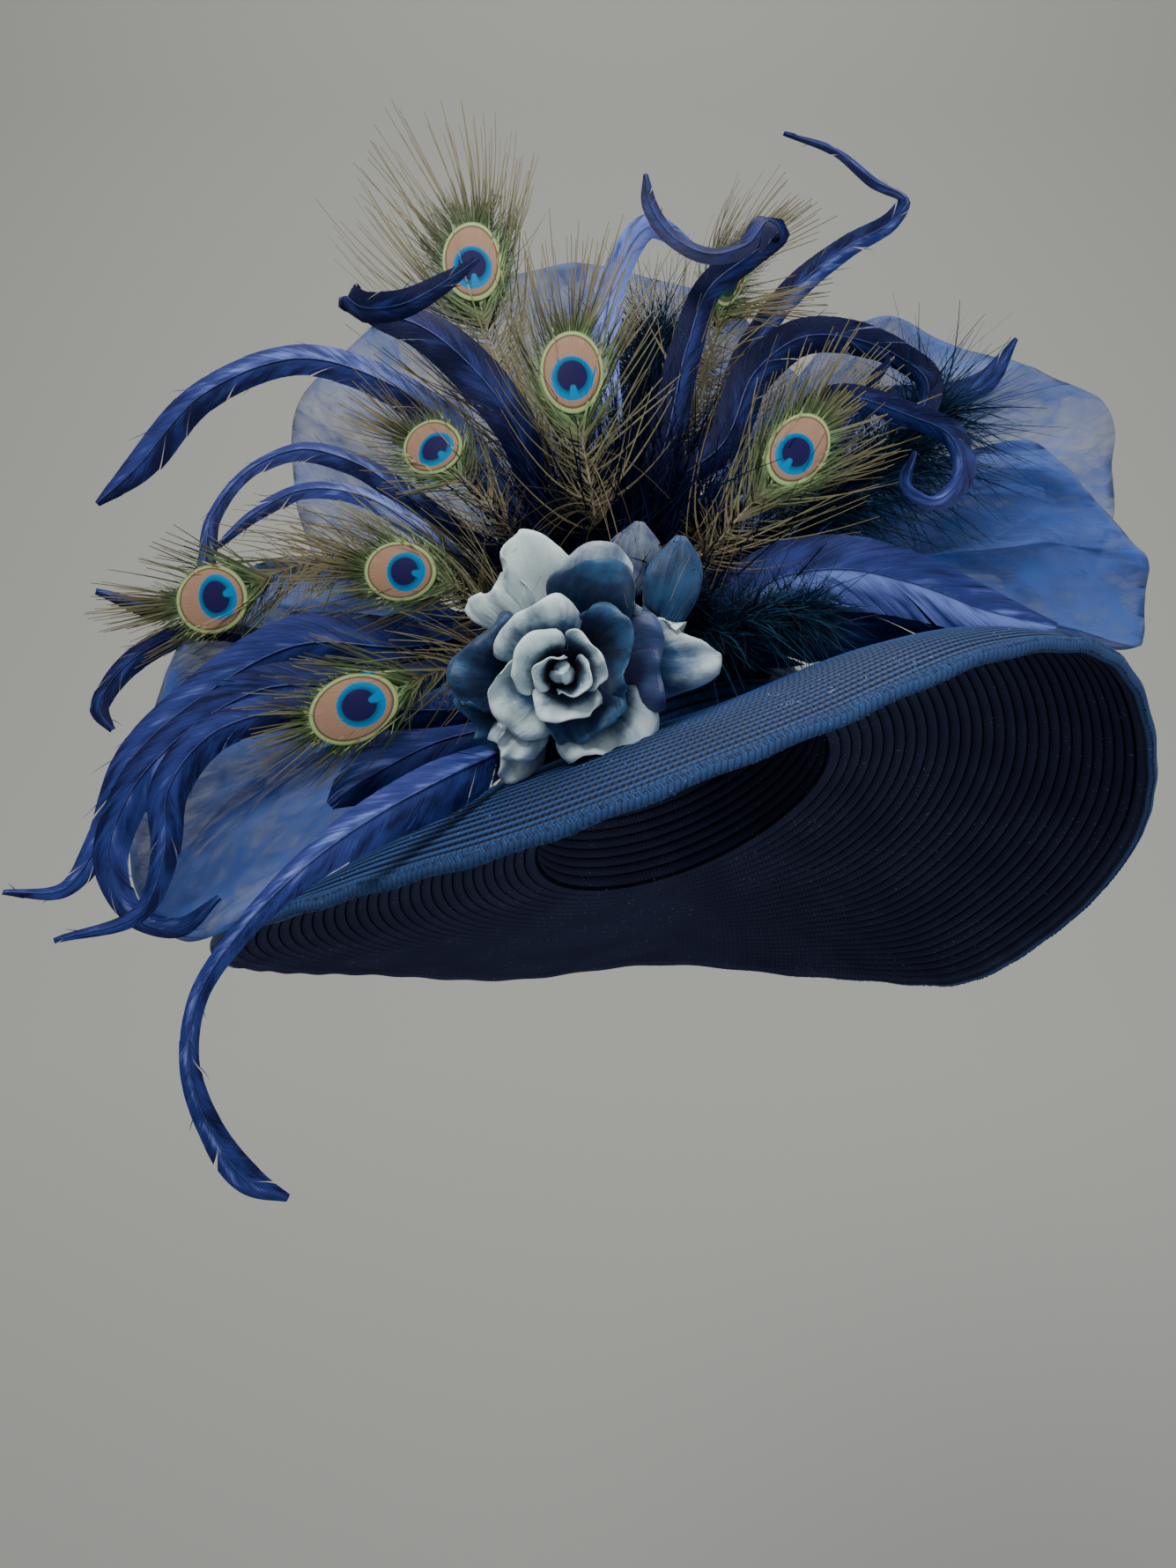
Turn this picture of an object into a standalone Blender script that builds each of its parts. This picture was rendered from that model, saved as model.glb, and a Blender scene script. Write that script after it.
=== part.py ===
"""A church hat: a sewn straw braid hat with a wide tilted brim, dressed with feathers, net and a rose.

The frame: the origin is the middle of the head opening, +X is to the right of someone who looks at the
front, +Y runs to the back of the head and +Z is up. Tables are in millimetres and degrees.
"""

import math

import bmesh
import bpy
import numpy as np

MM = 0.001
GAP = 0.3  # clearance between two pieces that touch
SHARP_FROM = 50.0  # edges that turn by more are shown sharp

# Hat body
HEAD_WIDE = 164.0
HEAD_LONG = 198.0
CROWN_HIGH = 115.0
CROWN_FULLNESS = 2.7  # 2 is a plain ellipse, more is a squarer crown
BRIM_WIDE = 165.0
STRAW_THICK = 2.0
EDGE_WIDE = 10.0
EDGE_THICK = 3.0
EDGE_SECTION = ((0.0, 0.7), (0.5, 1.0), (1.0, 0.6))  # share of its width, share of its thickness
TILT_SIDE = 19.0  # how far the +X side of the hat is raised
TILT_BACK = 20.0  # how far the front of the hat is raised
STRAIGHT = 1e-4  # the least bend, in radians, that the brim's formula takes
PROBE = 0.4  # how far from a point its surface's direction is measured
AROUND = 64
BRIM_RINGS = 6
CROWN_RINGS = 6

# How the brim falls below the hat's own level, where it leaves the crown and at its edge.
# azimuth, fall_at_crown, fall_at_edge
BRIM_FALL = (
    (0.0, 17, 61),
    (22.5, 27, 57),
    (45.0, 27, 55),
    (67.5, 17, 27),
    (90.0, 5, -1),
    (112.5, 3, -11),
    (135.0, 1, -17),
    (157.5, 2, -13),
    (180.0, 3, -2),
    (202.5, 3, 14),
    (225.0, 0, 39),
    (247.5, 8, 48),
    (270.0, 14, 43),
    (292.5, 2, 45),
    (315.0, -12, 60),
    (337.5, 2, 67),
)

# The pad on the front of the crown that carries every stem
PAD_FROM = 202.5  # azimuths, on the shell's own columns of points
PAD_TO = 303.75
PAD_COLUMNS = 9
PAD_STAND = 0.8  # off the crown at its points, so that its wider facets clear it
PAD_RIM = 1.6
PAD_BULGE = 50.0
PAD_LEAN = 12.0  # direction of the bulge above the hat's level
PAD_SHARPNESS = 1.1  # 1 is a plain cosine bulge, more is a narrower one

# Peacock feathers.
# name: seat on the pad (across, up), rows of x, y, z, twist up to the top of the eye, and the eye's
# half_width, half_length, side_reach, crest_reach, crest_lean
PEACOCK_FEATHERS = {
    "peacock_feather_tall": (
        (-0.05, 0.3),
        (
            (-77, -90, 176, 0), (-90, -80, 205, 0), (-102, -66, 245, 0),
            (-106, -60, 265, 0), (-107, -53, 289, 0),
        ),
        (17, 24, 62, 108, 30),
    ),
    "peacock_feather_middle": (
        (0.05, -0.05),
        (
            (-46, -136, 119, 0), (-50, -138, 145, 0), (-54, -137, 165, 0),
            (-56, -134, 184, 0), (-56, -130, 204, 0),
        ),
        (14, 20, 40, 84, 24),
    ),
    "peacock_feather_slim": (
        (0.35, 0.65),
        ((2, -54, 187, 25), (16, -34, 239, 30), (23, -24, 272, 35), (32, -18, 288, 35)),
        (14, 18, 28, 92, 14),
    ),
    "peacock_feather_right": (
        (0.45, 0.0),
        (
            (2, -124, 106, 0), (20, -122, 126, 6), (33, -118, 140, 10),
            (45, -112, 156, 10), (57, -105, 173, 10),
        ),
        (16, 21, 50, 84, 28),
    ),
    "peacock_feather_upper_left": (
        (-0.3, 0.1),
        ((-88, -106, 126, 0), (-105, -100, 146, 0), (-121, -92, 163, 0), (-133, -87, 171, 0)),
        (14, 15, 42, 62, 26),
    ),
    "peacock_feather_mid_left": (
        (-0.4, -0.15),
        ((-90, -136, 80, 0), (-112, -142, 91, 0), (-129, -140, 95, 0), (-145, -137, 97, 0)),
        (13, 16, 38, 62, 24),
    ),
    "peacock_feather_far_left": (
        (-0.5, 0.1),
        (
            (-123, -117, 108, 0), (-155, -112, 111, 0), (-184, -106, 104, 0),
            (-220, -100, 91, 0), (-237, -98, 88, 0),
        ),
        (16, 17, 40, 60, 26),
    ),
    "peacock_feather_low_left": (
        (-0.35, -0.35),
        ((-92, -134, 58, 0), (-114, -160, 48, 0), (-144, -168, 33, 0), (-162, -166, 26, 0)),
        (14, 19, 36, 54, 26),
    ),
}

# Cock feathers.
# name: seat on the pad (across, up), and rows of x, y, z, half_width, twist
COCK_FEATHERS = {
    "cock_feather_long_left": (
        (-0.25, 0.5),
        (
            (-107, -76, 169, 9, 5), (-142, -66, 201, 9, 8),
            (-190, -62, 217, 8, 5), (-237, -62, 199, 8, 0),
            (-270, -64, 160, 7, 0), (-286, -66, 144, 1.5, 0),
        ),
    ),
    "cock_feather_curl_left": (
        (-0.2, 0.3),
        (
            (-82, -106, 170, 10, 5), (-101, -105, 196, 11, 5), (-125, -102, 217, 10, 15),
            (-148, -98, 227, 8, 50), (-159, -104, 231, 7, 75), (-151, -116, 221, 7, 60),
            (-131, -127, 218, 6, 35), (-111, -127, 229, 4, 20), (-98, -124, 240, 1.5, 10),
        ),
    ),
    "cock_feather_arch_left": (
        (-0.45, 0.5),
        (
            (-132, -70, 144, 6, 10), (-163, -65, 165, 6, 20),
            (-188, -65, 171, 6, 35), (-212, -70, 159, 5, 45),
            (-228, -76, 134, 5, 40), (-231, -82, 107, 5, 20),
            (-247, -86, 90, 5, 0), (-278, -88, 97, 1.5, 0),
        ),
    ),
    "cock_feather_low_arch": (
        (-0.6, 0.3),
        (
            (-125, -94, 123, 5, 20), (-154, -92, 141, 5, 30),
            (-183, -90, 144, 5, 35), (-203, -92, 133, 4, 25),
            (-220, -96, 116, 1.5, 10),
        ),
    ),
    "cock_feather_wave_left": (
        (-0.65, 0.0),
        (
            (-133, -124, 65, 13, -15), (-176, -120, 67, 13, -10), (-218, -122, 44, 11, 0),
            (-247, -128, 15, 9, 10), (-259, -134, -22, 7, 10),
            (-271, -136, -40, 4, 20), (-299, -134, -42, 1.2, 30),
        ),
    ),
    "cock_feather_hook_left": (
        (-0.6, -0.25),
        (
            (-142, -144, 45, 9, -10), (-187, -144, 44, 10, -5),
            (-219, -146, 25, 9, 0), (-241, -150, -2, 9, 10),
            (-248, -152, -30, 8, 15), (-237, -152, -52, 6, 40),
            (-219, -150, -57, 5, 50), (-203, -146, -44, 1.5, 50),
        ),
    ),
    "cock_feather_fork_left": (
        (-0.5, -0.55),
        (
            (-104, -138, 36, 6, 0), (-129, -154, 34, 8, 0),
            (-172, -160, 34, 8, 0), (-206, -163, 21, 8, 0),
            (-220, -166, -1, 8, 0), (-220, -168, -24, 6, 0),
            (-228, -168, -48, 4, 10), (-264, -168, -61, 1.2, 20),
        ),
    ),
    "cock_feather_short_left": (
        (-0.75, 0.3),
        (
            (-200, -86, 76, 4, 0), (-233, -84, 79, 5, 0), (-257, -84, 69, 6, 10), (-272, -84, 54, 6, 20),
            (-276, -86, 43, 5, 10), (-269, -88, 32, 1.5, 0),
        ),
    ),
    "cock_feather_hanging": (
        (-0.3, -0.7),
        (
            (-74, -140, 24, 4, 0), (-86, -174, 14, 6, 0), (-105, -200, 2, 9, 5), (-127, -216, -12, 8, 5),
            (-149, -232, -30, 6, 10), (-172, -240, -55, 4, 10), (-186, -240, -77, 3.5, 0),
            (-190, -236, -99, 3.5, -10), (-185, -226, -125, 4.5, -10), (-171, -214, -148, 5, -10),
            (-160, -208, -154, 1.5, -10),
        ),
    ),
    "cock_feather_light_arch": (
        (0.0, 0.55),
        (
            (-44, -74, 173, 10, 0), (-42, -62, 221, 9, 5), (-34, -56, 264, 7, 15), (-18, -54, 287, 6, 30),
            (4, -54, 274, 3, 30),
        ),
    ),
    "cock_feather_upright": (
        (0.2, 0.5),
        (
            (-19, -90, 148, 7, 0), (-12, -82, 171, 8, 5), (-1, -72, 220, 8, 10), (12, -66, 253, 7, 20),
            (29, -70, 265, 7, 35), (43, -76, 274, 7, 45), (36, -88, 274, 7, 45), (26, -94, 260, 7, 40),
            (12, -92, 256, 6, 30), (-6, -84, 266, 5, 30), (-19, -76, 288, 4, 20), (-21, -70, 306, 1.2, 0),
        ),
    ),
    "cock_feather_kinked": (
        (0.45, 0.6),
        (
            (19, -29, 193, 8, 0), (40, 4, 251, 7, 10), (66, 9, 285, 7, 15), (92, 8, 305, 6, 20),
            (118, 8, 321, 5, 40), (124, 9, 330, 5, 60), (106, 8, 341, 4, 20), (87, 10, 358, 3, 10),
            (58, 12, 370, 1.2, 0),
        ),
    ),
    "cock_feather_ring": (
        (0.4, 0.25),
        (
            (17, -74, 173, 9, 5), (33, -66, 210, 10, 10), (58, -60, 229, 9, 20), (84, -58, 228, 8, 40),
            (103, -60, 219, 7, 60), (116, -64, 206, 7, 70), (112, -70, 189, 7, 60), (97, -76, 183, 6, 55),
            (86, -82, 196, 5, 55), (94, -84, 208, 1.5, 50),
        ),
    ),
    "cock_feather_small_ring": (
        (0.6, 0.2),
        (
            (30, -94, 154, 6, 5), (67, -92, 188, 6, 20), (99, -96, 178, 6, 45), (118, -100, 167, 6, 60),
            (121, -106, 147, 6, 65), (107, -110, 134, 6, 60),
            (95, -112, 141, 5, 55), (99, -112, 156, 1.5, 50),
        ),
    ),
    "cock_feather_far_right": (
        (0.7, 0.5),
        (
            (52, -46, 153, 5, 0), (99, -34, 206, 6, 10), (136, -30, 209, 7, 20), (154, -28, 217, 6, 10),
            (171, -28, 240, 1.2, 0),
        ),
    ),
}

# Goose feathers: as the cock feathers, but broad.
GOOSE_FEATHERS = {
    "goose_feather_top": (
        (0.6, -0.05),
        (
            (10, -124, 83, 12, 5), (37, -122, 97, 16, 5), (65, -118, 101, 17, 0), (98, -114, 95, 15, 0),
            (130, -110, 84, 11, 0), (162, -108, 77, 2, 0),
        ),
    ),
    "goose_feather_under": (
        (0.65, -0.4),
        (
            (30, -106, 72, 12, 0), (54, -106, 76, 14, 0), (83, -104, 83, 12, 0), (108, -102, 84, 10, 0),
            (130, -98, 84, 3, 0),
        ),
    ),
    "goose_feather_left": (
        (-0.55, -0.8),
        (
            (-91, -118, 30, 10, 0), (-114, -122, 24, 14, 0),
            (-136, -130, 12, 14, 0), (-150, -134, 3, 9, 0),
            (-159, -138, -5, 2, 0),
        ),
    ),
}

# Plumes.
# name: seat on the pad, rows of x, y, z, half_width, twist, and the locks' lean, reach and droop
PLUMES = {
    "plume_right": (
        (0.75, 0.3),
        ((40, -62, 128, 4, 0), (76, -58, 152, 7, 0), (104, -54, 174, 8, 0), (124, -50, 194, 5, 0)),
        (48, 44, 0.1),
    ),
    "plume_behind": (
        (0.15, 0.9),
        ((-22, -24, 180, 6, 0), (-18, -6, 225, 6, 0), (-10, 10, 255, 3, 0)),
        (42, 40, 0.1),
    ),
    "plume_dark": (
        (0.4, -0.35),
        ((6, -138, 68, 4, 0), (22, -143, 76, 6, 0), (38, -142, 78, 5, 0), (50, -138, 78, 3, 0)),
        (55, 18, 0.1),
    ),
}

# Net.
# name: seat on the pad, half width of the gather, rim as x, y, z, and the folds' count, depth and belly
NETS = {
    "net_right_back": (
        (0.8, 0.75),
        5,
        (
            (135, 24, 202), (150, 22, 237), (196, 16, 238), (224, 10, 219), (231, 2, 188), (230, -6, 155),
            (217, -10, 122),
        ),
        (4, 9, -14),
    ),
    "net_right_front": (
        (0.9, 0.45),
        5,
        (
            (142, -16, 182), (180, -20, 190), (210, -24, 161),
            (231, -30, 123), (226, -36, 79), (185, -42, 84),
        ),
        (4, 7, -6),
    ),
    "net_left": (
        (-0.8, -0.1),
        5,
        (
            (-232, -86, 60), (-252, -94, 20), (-254, -104, -14), (-250, -116, -48), (-222, -132, -62),
            (-178, -146, -34),
        ),
        (4, 7, 0),
    ),
    "net_top": (
        (-0.25, 0.95),
        6,
        (
            (-200, 6, 160), (-206, 10, 208), (-182, 14, 252),
            (-110, 18, 292), (-40, 26, 300), (40, 32, 268),
            (76, 32, 232),
        ),
        (5, 9, -14),
    ),
}

# Rose petals.
# name: turn, spread, base, belly, belly_high, rim, rim_high
ROSE_PETALS = {
    "rose_heart_petal_left": (150, 80, 4.6, 9, 18, 7.5, 33),
    "rose_heart_petal_right": (330, 80, 4.6, 9, 18, 7.5, 32),
    "rose_inner_petal_right": (25, 62, 7.0, 13, 16, 14, 30),
    "rose_inner_petal_left": (150, 66, 7.0, 13, 16, 14, 30),
    "rose_inner_petal_low": (272, 64, 7.0, 13, 16, 14, 30),
    "rose_mid_petal_upper_left": (118, 50, 9.4, 20, 11, 24, 26),
    "rose_mid_petal_right": (24, 50, 9.4, 20, 11, 24, 26),
    "rose_mid_petal_lower_left": (212, 50, 9.4, 20, 11, 24, 26),
    "rose_mid_petal_low": (298, 50, 9.4, 20, 11, 24, 26),
    "rose_outer_petal_left": (170, 40, 11.8, 30, 4, 37, 20),
    "rose_outer_petal_top": (86, 38, 11.8, 28, 4, 38, 18),
    "rose_outer_petal_right": (5, 33, 11.8, 28, 4, 37, 20),
    "rose_outer_petal_low_right": (297, 32, 11.8, 26, 4, 31, 24),
    "rose_outer_petal_lower_left": (236, 22, 11.8, 26, 4, 33, 22),
    "rose_back_petal_upper_left": (134, 16, 14.2, 34, -4, 48, 2),
    "rose_back_petal_top": (97, 20, 14.2, 38, -4, 55, 4),
    "rose_back_petal_right": (5, 26, 14.2, 40, -4, 58, 6),
    "rose_back_petal_lower_left": (204, 20, 14.2, 32, -4, 43, 8),
    "rose_back_petal_low": (240, 14, 14.2, 32, -4, 42, 14),
}

# The two leaf-shaped petals behind the rose: as the cock feathers.
ROSE_LEAVES = {
    "rose_leaf_up": (
        (0.15, -0.3),
        ((-34, -138, 86, 6, 0), (-30, -144, 98, 12, 0), (-28, -145, 108, 10, 0), (-27, -144, 116, 2, 0)),
    ),
    "rose_leaf_right": (
        (0.3, -0.2),
        ((-18, -148, 74, 9, 0), (-14, -154, 86, 12, 0), (-11, -154, 98, 10, 0), (-10, -152, 108, 2, 0)),
    ),
}

ROSE_AT = (-59.0, -176.0, 47.0)
ROSE_FACES = (0.0, -0.985, -0.17)
ROSE_BASE = 0.9
ROSE_CONE = 0.55  # how far the petals' feet fall back for each millimetre from the rose's middle
PETAL_CELLS = (4, 4)
PETAL_THICK = 1.0
PETAL_ROUND = 0.2
PETAL_NARROW = 0.25  # how much narrower a petal is at its foot
PETAL_WIDEST = 0.75 * math.pi
PETAL_WRAP = (0.3, 1.5)  # how far a petal's sides step in and out, at its base and in all at its rim
CALYX_SEAT = (-0.1, -0.55)
CALYX_SIDES = 12
CALYX_STEM = ((0.0, 1.2), (0.6, 2.0), (1.0, 3.0))  # share of the way to the cup, radius
CALYX_NECK = 4.0
CALYX_CUP = ((-13.0, 9.0), (-8.5, 15.0), (0.0, 0.8))  # high, radius
BUD_SHAPE = ((0.5, 1.0), (6.0, 2.6), (18.0, 4.4), (27.0, 3.6), (32.0, 0.8))  # high, radius
STEM_STAND = 0.8  # between the pad and the middle of a stem's end
STEM_RISE = 8.0  # how far a stem stands straight off the pad
STEM_HALF = (0.5, 1.5)  # a stem's half width at its end and where it has risen
BLADE_THICK = 1.4
BLADE_CUP = 0.25
FULL_BLADE = 4.0  # a blade less wide than this on each side of its stem is also thinner
BROAD_ACROSS = 4  # cells across a broad blade
COCK_SECTIONS_PER_ROW = 2
GOOSE_SECTIONS = 9
LEAF_SECTIONS = 7
EYE_SECTIONS = 14
PLUME_SECTIONS = 10

# Barbs and locks, by their share of the feather's length from its tip
SIDE_LEAN = 58.0
CREST_SHARE = 0.3  # the crest's barbs spring from this end of the stem
LEAN_SHARE = 0.35  # and past this share every barb has its full side lean
EYE_BARE_STEM = 0.62
EYE_BARB_DROOP = 0.12
LOW_BARBS_SHORTER = 0.35
PLUME_BARE_STEM = 0.75
TIP_LOCKS_SHORTER = 0.4
TIP_LOCK_SHARE = 0.6
BARBED_THICK = 1.0
PLUME_THICK = 2.0

NET_CELLS = (16, 4)
NET_THICK = 1.0
NET_RISE = 10.0
NET_STAND = 1.0
NET_FOLD_POWER = 1.2  # more than 1 keeps the folds flat near the gather

CROWN_OUTS = -CROWN_HIGH * np.arange(CROWN_RINGS, 0, -1) / (CROWN_RINGS + 1)
PAD_LOWEST = -6.0
PAD_OUTS = (*CROWN_OUTS[1:], PAD_LOWEST)
FRONT = np.array([0.0, -1.0, 0.0])  # feathers turn their faces this way


def colour(name, rgb, rough, sheen=0.0):
    """A plain fabric, straw or feather material."""
    material = bpy.data.materials.new(name)
    material.use_nodes = True
    shader = material.node_tree.nodes["Principled BSDF"]
    shader.inputs["Base Color"].default_value = (*rgb, 1.0)
    shader.inputs["Roughness"].default_value = rough
    shader.inputs["Metallic"].default_value = 0.0
    shader.inputs["Sheen Weight"].default_value = sheen
    material.diffuse_color = (*rgb, 1.0)
    return material


def add(name, points, faces, material):
    """One closed body, its points given in millimetres."""
    mesh = bpy.data.meshes.new(name)
    mesh.from_pydata([tuple(p) for p in np.asarray(points) * MM], [], faces)
    shape = bmesh.new()
    shape.from_mesh(mesh)
    bmesh.ops.recalc_face_normals(shape, faces=shape.faces)
    shape.to_mesh(mesh)
    shape.free()
    mesh.materials.append(material)
    mesh.shade_smooth()
    mesh.set_sharp_from_angle(angle=math.radians(SHARP_FROM))
    piece = bpy.data.objects.new(name, mesh)
    bpy.context.scene.collection.objects.link(piece)
    return piece


def unit(vectors):
    vectors = np.asarray(vectors, float)
    return vectors / np.linalg.norm(vectors, axis=-1, keepdims=True)


def through(rows, count):
    """Rows read evenly from a smooth curve through the given ones, by the length of their x, y and z."""
    rows = np.array(rows, float)
    gaps = np.linalg.norm(np.diff(rows[:, :3], axis=0), axis=1)
    at = np.concatenate([[0.0], np.cumsum(gaps)])
    slope = np.gradient(rows, at, axis=0)
    where = np.linspace(0.0, at[-1], count)
    k = np.clip(np.searchsorted(at, where, side="right") - 1, 0, len(at) - 2)
    step = (at[k + 1] - at[k])[:, None]
    t = (where - at[k])[:, None] / step
    start = (1 + 2 * t) * (1 - t) ** 2 * rows[k] + t * (1 - t) ** 2 * step * slope[k]
    end = t**2 * (3 - 2 * t) * rows[k + 1] + t**2 * (t - 1) * step * slope[k + 1]
    return start + end


# Hat surface


def tilted(points):
    """Points of the level hat, turned as the hat is worn."""
    side = math.radians(TILT_SIDE)
    back = math.radians(TILT_BACK)
    raise_side = np.array(
        [[math.cos(side), 0, -math.sin(side)], [0, 1, 0], [math.sin(side), 0, math.cos(side)]]
    )
    raise_front = np.array(
        [[1, 0, 0], [0, math.cos(back), math.sin(back)], [0, -math.sin(back), math.cos(back)]]
    )
    return np.asarray(points) @ (raise_front @ raise_side).T


def brim_fall(azimuth):
    """The brim's two falls at any azimuth, from a smooth closed curve through the table, in radians."""
    rows = np.array(BRIM_FALL)[:, 1:]
    place = (np.asarray(azimuth) / 360.0 * len(rows)) % len(rows)
    k = np.floor(place).astype(int)
    t = (place - k)[..., None]
    a, b, c, d = (rows[(k + n) % len(rows)] for n in (-1, 0, 1, 2))
    curve = (2 * a - 5 * b + 4 * c - d) * t**2 + (3 * b - a - 3 * c + d) * t**3
    fall = b + (c - a) * t / 2 + curve / 2
    return np.radians(fall[..., 0]), np.radians(fall[..., 1])


def hat_point(azimuth, out):
    """A point of the outer surface. out is the way along the brim or, where it is below 0, up the crown."""
    azimuth, out = np.broadcast_arrays(np.asarray(azimuth, float), np.asarray(out, float))
    turn = np.radians(azimuth)
    level = np.stack([np.cos(turn) * HEAD_WIDE / 2, np.sin(turn) * HEAD_LONG / 2, 0 * turn], -1)
    away = unit(np.stack([np.cos(turn) / HEAD_WIDE, np.sin(turn) / HEAD_LONG, 0 * turn], -1))
    first, last = brim_fall(azimuth)
    bend = np.where(np.abs(last - first) < STRAIGHT, STRAIGHT, last - first)
    run = np.clip(out, 0, None) / BRIM_WIDE
    reach = BRIM_WIDE / bend * (np.sin(first + bend * run) - np.sin(first))
    drop = BRIM_WIDE / bend * (np.cos(first + bend * run) - np.cos(first))
    rise = np.clip(-out / CROWN_HIGH, 0, 1)[..., None] * math.pi / 2
    inward = np.cos(rise) ** (2 / CROWN_FULLNESS)
    high = CROWN_HIGH * np.sin(rise) ** (2 / CROWN_FULLNESS)
    points = level * inward + away * reach[..., None]
    points[..., 2] += drop + high[..., 0]
    return tilted(points)


def hat_normal(azimuth, out):
    """The outward direction of the surface, on the brim where out is 0 or more and on the crown below 0."""
    azimuth = np.asarray(azimuth, float)
    out = np.asarray(out, float)
    near = np.where(out < 0, out - PROBE, out)
    along = hat_point(azimuth, near + PROBE) - hat_point(azimuth, near)
    across = hat_point(azimuth + PROBE, near) - hat_point(azimuth - PROBE, near)
    return unit(np.cross(along, across))


def make_hat_body(material):
    """Crown and brim in one hollow shell, open below."""
    turns = np.arange(AROUND) * 360.0 / AROUND
    crown = CROWN_OUTS
    brim = np.linspace(0, BRIM_WIDE - EDGE_WIDE - GAP, BRIM_RINGS + 1)
    outer = [hat_point(turns, out) for out in (*crown, *brim)]
    inner = []
    for out, ring in zip((*crown, *brim), outer):
        inward = -hat_normal(turns, out) * STRAW_THICK
        if out == 0:
            inward = inward - hat_normal(turns, -PROBE) * STRAW_THICK
        inner.append(ring + inward)
    axis = tilted([0, 0, 1])
    tops = [axis * CROWN_HIGH, axis * (CROWN_HIGH - STRAW_THICK)]
    points = np.vstack([*outer, *inner[::-1], tops])
    count = len(outer) + len(inner)
    faces = []
    for row in range(count - 1):
        for k in range(AROUND):
            n = (k + 1) % AROUND
            a = row * AROUND
            faces.append((a + k, a + n, a + AROUND + n, a + AROUND + k))
    first_top = count * AROUND
    last_ring = (count - 1) * AROUND
    for k in range(AROUND):
        n = (k + 1) % AROUND
        faces.append((first_top, n, k))
        faces.append((first_top + 1, last_ring + k, last_ring + n))
    return add("hat_body", points, faces, material)


def loft(name, loops, material, closed=False):
    """A body through loops of equally many points, with its ends capped unless it closes on itself."""
    loops = np.asarray(loops)
    rows, size = loops.shape[:2]
    faces = []
    for row in range(rows if closed else rows - 1):
        a = row * size
        b = (row + 1) % rows * size
        for k in range(size):
            n = (k + 1) % size
            # the two faces of a thin blade are cut along one diagonal, so that they stay apart
            cut = (a + k, b + n) if k < size // 2 else (b + k, a + n)
            for corner in {a + k, a + n, b + n, b + k} - set(cut):
                faces.append((*cut, corner))
    if not closed:
        faces.append(tuple(range(size)))
        faces.append(tuple(reversed(range((rows - 1) * size, rows * size))))
    return add(name, loops.reshape(-1, 3), faces, material)


def make_edge_braid(material):
    """The doubled row of braid round the wired edge, a flat tube a little thicker than the straw."""
    turns = np.arange(AROUND) * 360.0 / AROUND
    start = BRIM_WIDE - EDGE_WIDE
    half = EDGE_THICK / 2
    top = []
    under = []
    for way, share in EDGE_SECTION:
        out = start + EDGE_WIDE * way
        middle = hat_point(turns, out) - hat_normal(turns, out) * STRAW_THICK / 2
        top.append(middle + hat_normal(turns, out) * half * share)
        under.append(middle - hat_normal(turns, out) * half * share)
    loops = np.stack([*top, *under[::-1]], axis=1)
    return loft("edge_braid", loops, material, closed=True)


# Pad and seats


def pad_place(across, up):
    """The azimuth and the way up the crown of a place on the pad: across and up run from -1 to 1."""
    rows = np.array(PAD_OUTS)[::-1]
    azimuth = PAD_FROM + (PAD_TO - PAD_FROM) * (np.asarray(across, float) + 1) / 2
    out = np.interp((np.asarray(up, float) + 1) / 2 * (len(rows) - 1), np.arange(len(rows)), rows)
    return azimuth, out


def pad_point(across, up, face=1.0):
    """A point of the pad's outer face, or with face 0 of the face that lies on the crown."""
    azimuth, out = pad_place(across, up)
    lean = math.radians(PAD_LEAN)
    swell = np.cos(np.asarray(across) * math.pi / 2) * np.cos(np.asarray(up) * math.pi / 2)
    direction = tilted([0, -math.cos(lean), math.sin(lean)])
    thick = PAD_RIM + PAD_BULGE * np.clip(swell, 0, 1) ** PAD_SHARPNESS
    base = hat_point(azimuth, out) + hat_normal(azimuth, out) * PAD_STAND
    return base + face * (direction * thick[..., None] + hat_normal(azimuth, out) * PAD_RIM)


def seat(across, up, stand=STEM_STAND):
    """Where the point of a stem rests on the pad, just clear of its facet, and the facet's direction."""
    columns = np.linspace(-1, 1, PAD_COLUMNS + 1)
    rows = np.linspace(-1, 1, len(PAD_OUTS))
    i = np.searchsorted(columns, across) - 1
    j = np.searchsorted(rows, up) - 1
    s = (across - columns[i]) / (columns[i + 1] - columns[i])
    t = (up - rows[j]) / (rows[j + 1] - rows[j])
    corner = pad_point(columns[i], rows[j])
    far_corner = pad_point(columns[i + 1], rows[j + 1])
    if t >= s:
        above = pad_point(columns[i], rows[j + 1])
        here = corner + (above - corner) * t + (far_corner - above) * s
        away = unit(np.cross(far_corner - above, above - corner))
    else:
        beside = pad_point(columns[i + 1], rows[j])
        here = corner + (beside - corner) * s + (far_corner - beside) * t
        away = unit(np.cross(beside - corner, far_corner - beside))
    return here + away * stand, away


def rooted(seat_at, rows):
    """A stem's rows with two more before them: its end on the pad, and the place where it has risen off it.

    rows: x, y, z and any further columns, which the new rows take from the first row.
    """
    start, away = seat(*seat_at)
    return [(*start, *rows[0][3:]), (*(start + away * STEM_RISE), *rows[0][3:]), *rows]


def shell(name, near, far, material):
    """A closed sheet between two grids of points that face each other."""
    rows, columns = near.shape[:2]
    points = np.vstack([near.reshape(-1, 3), far.reshape(-1, 3)])
    back = rows * columns
    faces = []
    for i in range(rows - 1):
        for j in range(columns - 1):
            a = i * columns + j
            for corners in ((a, a + 1, a + columns + 1), (a, a + columns + 1, a + columns)):
                faces.append(corners)
                faces.append(tuple(back + k for k in reversed(corners)))
    rim = list(range(columns))
    rim += [i * columns + columns - 1 for i in range(1, rows)]
    rim += [(rows - 1) * columns + j for j in range(columns - 2, -1, -1)]
    rim += [i * columns for i in range(rows - 2, 0, -1)]
    for a, b in zip(rim, rim[1:] + rim[:1]):
        faces.append((b, a, back + a, back + b))
    return add(name, points, faces, material)


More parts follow.
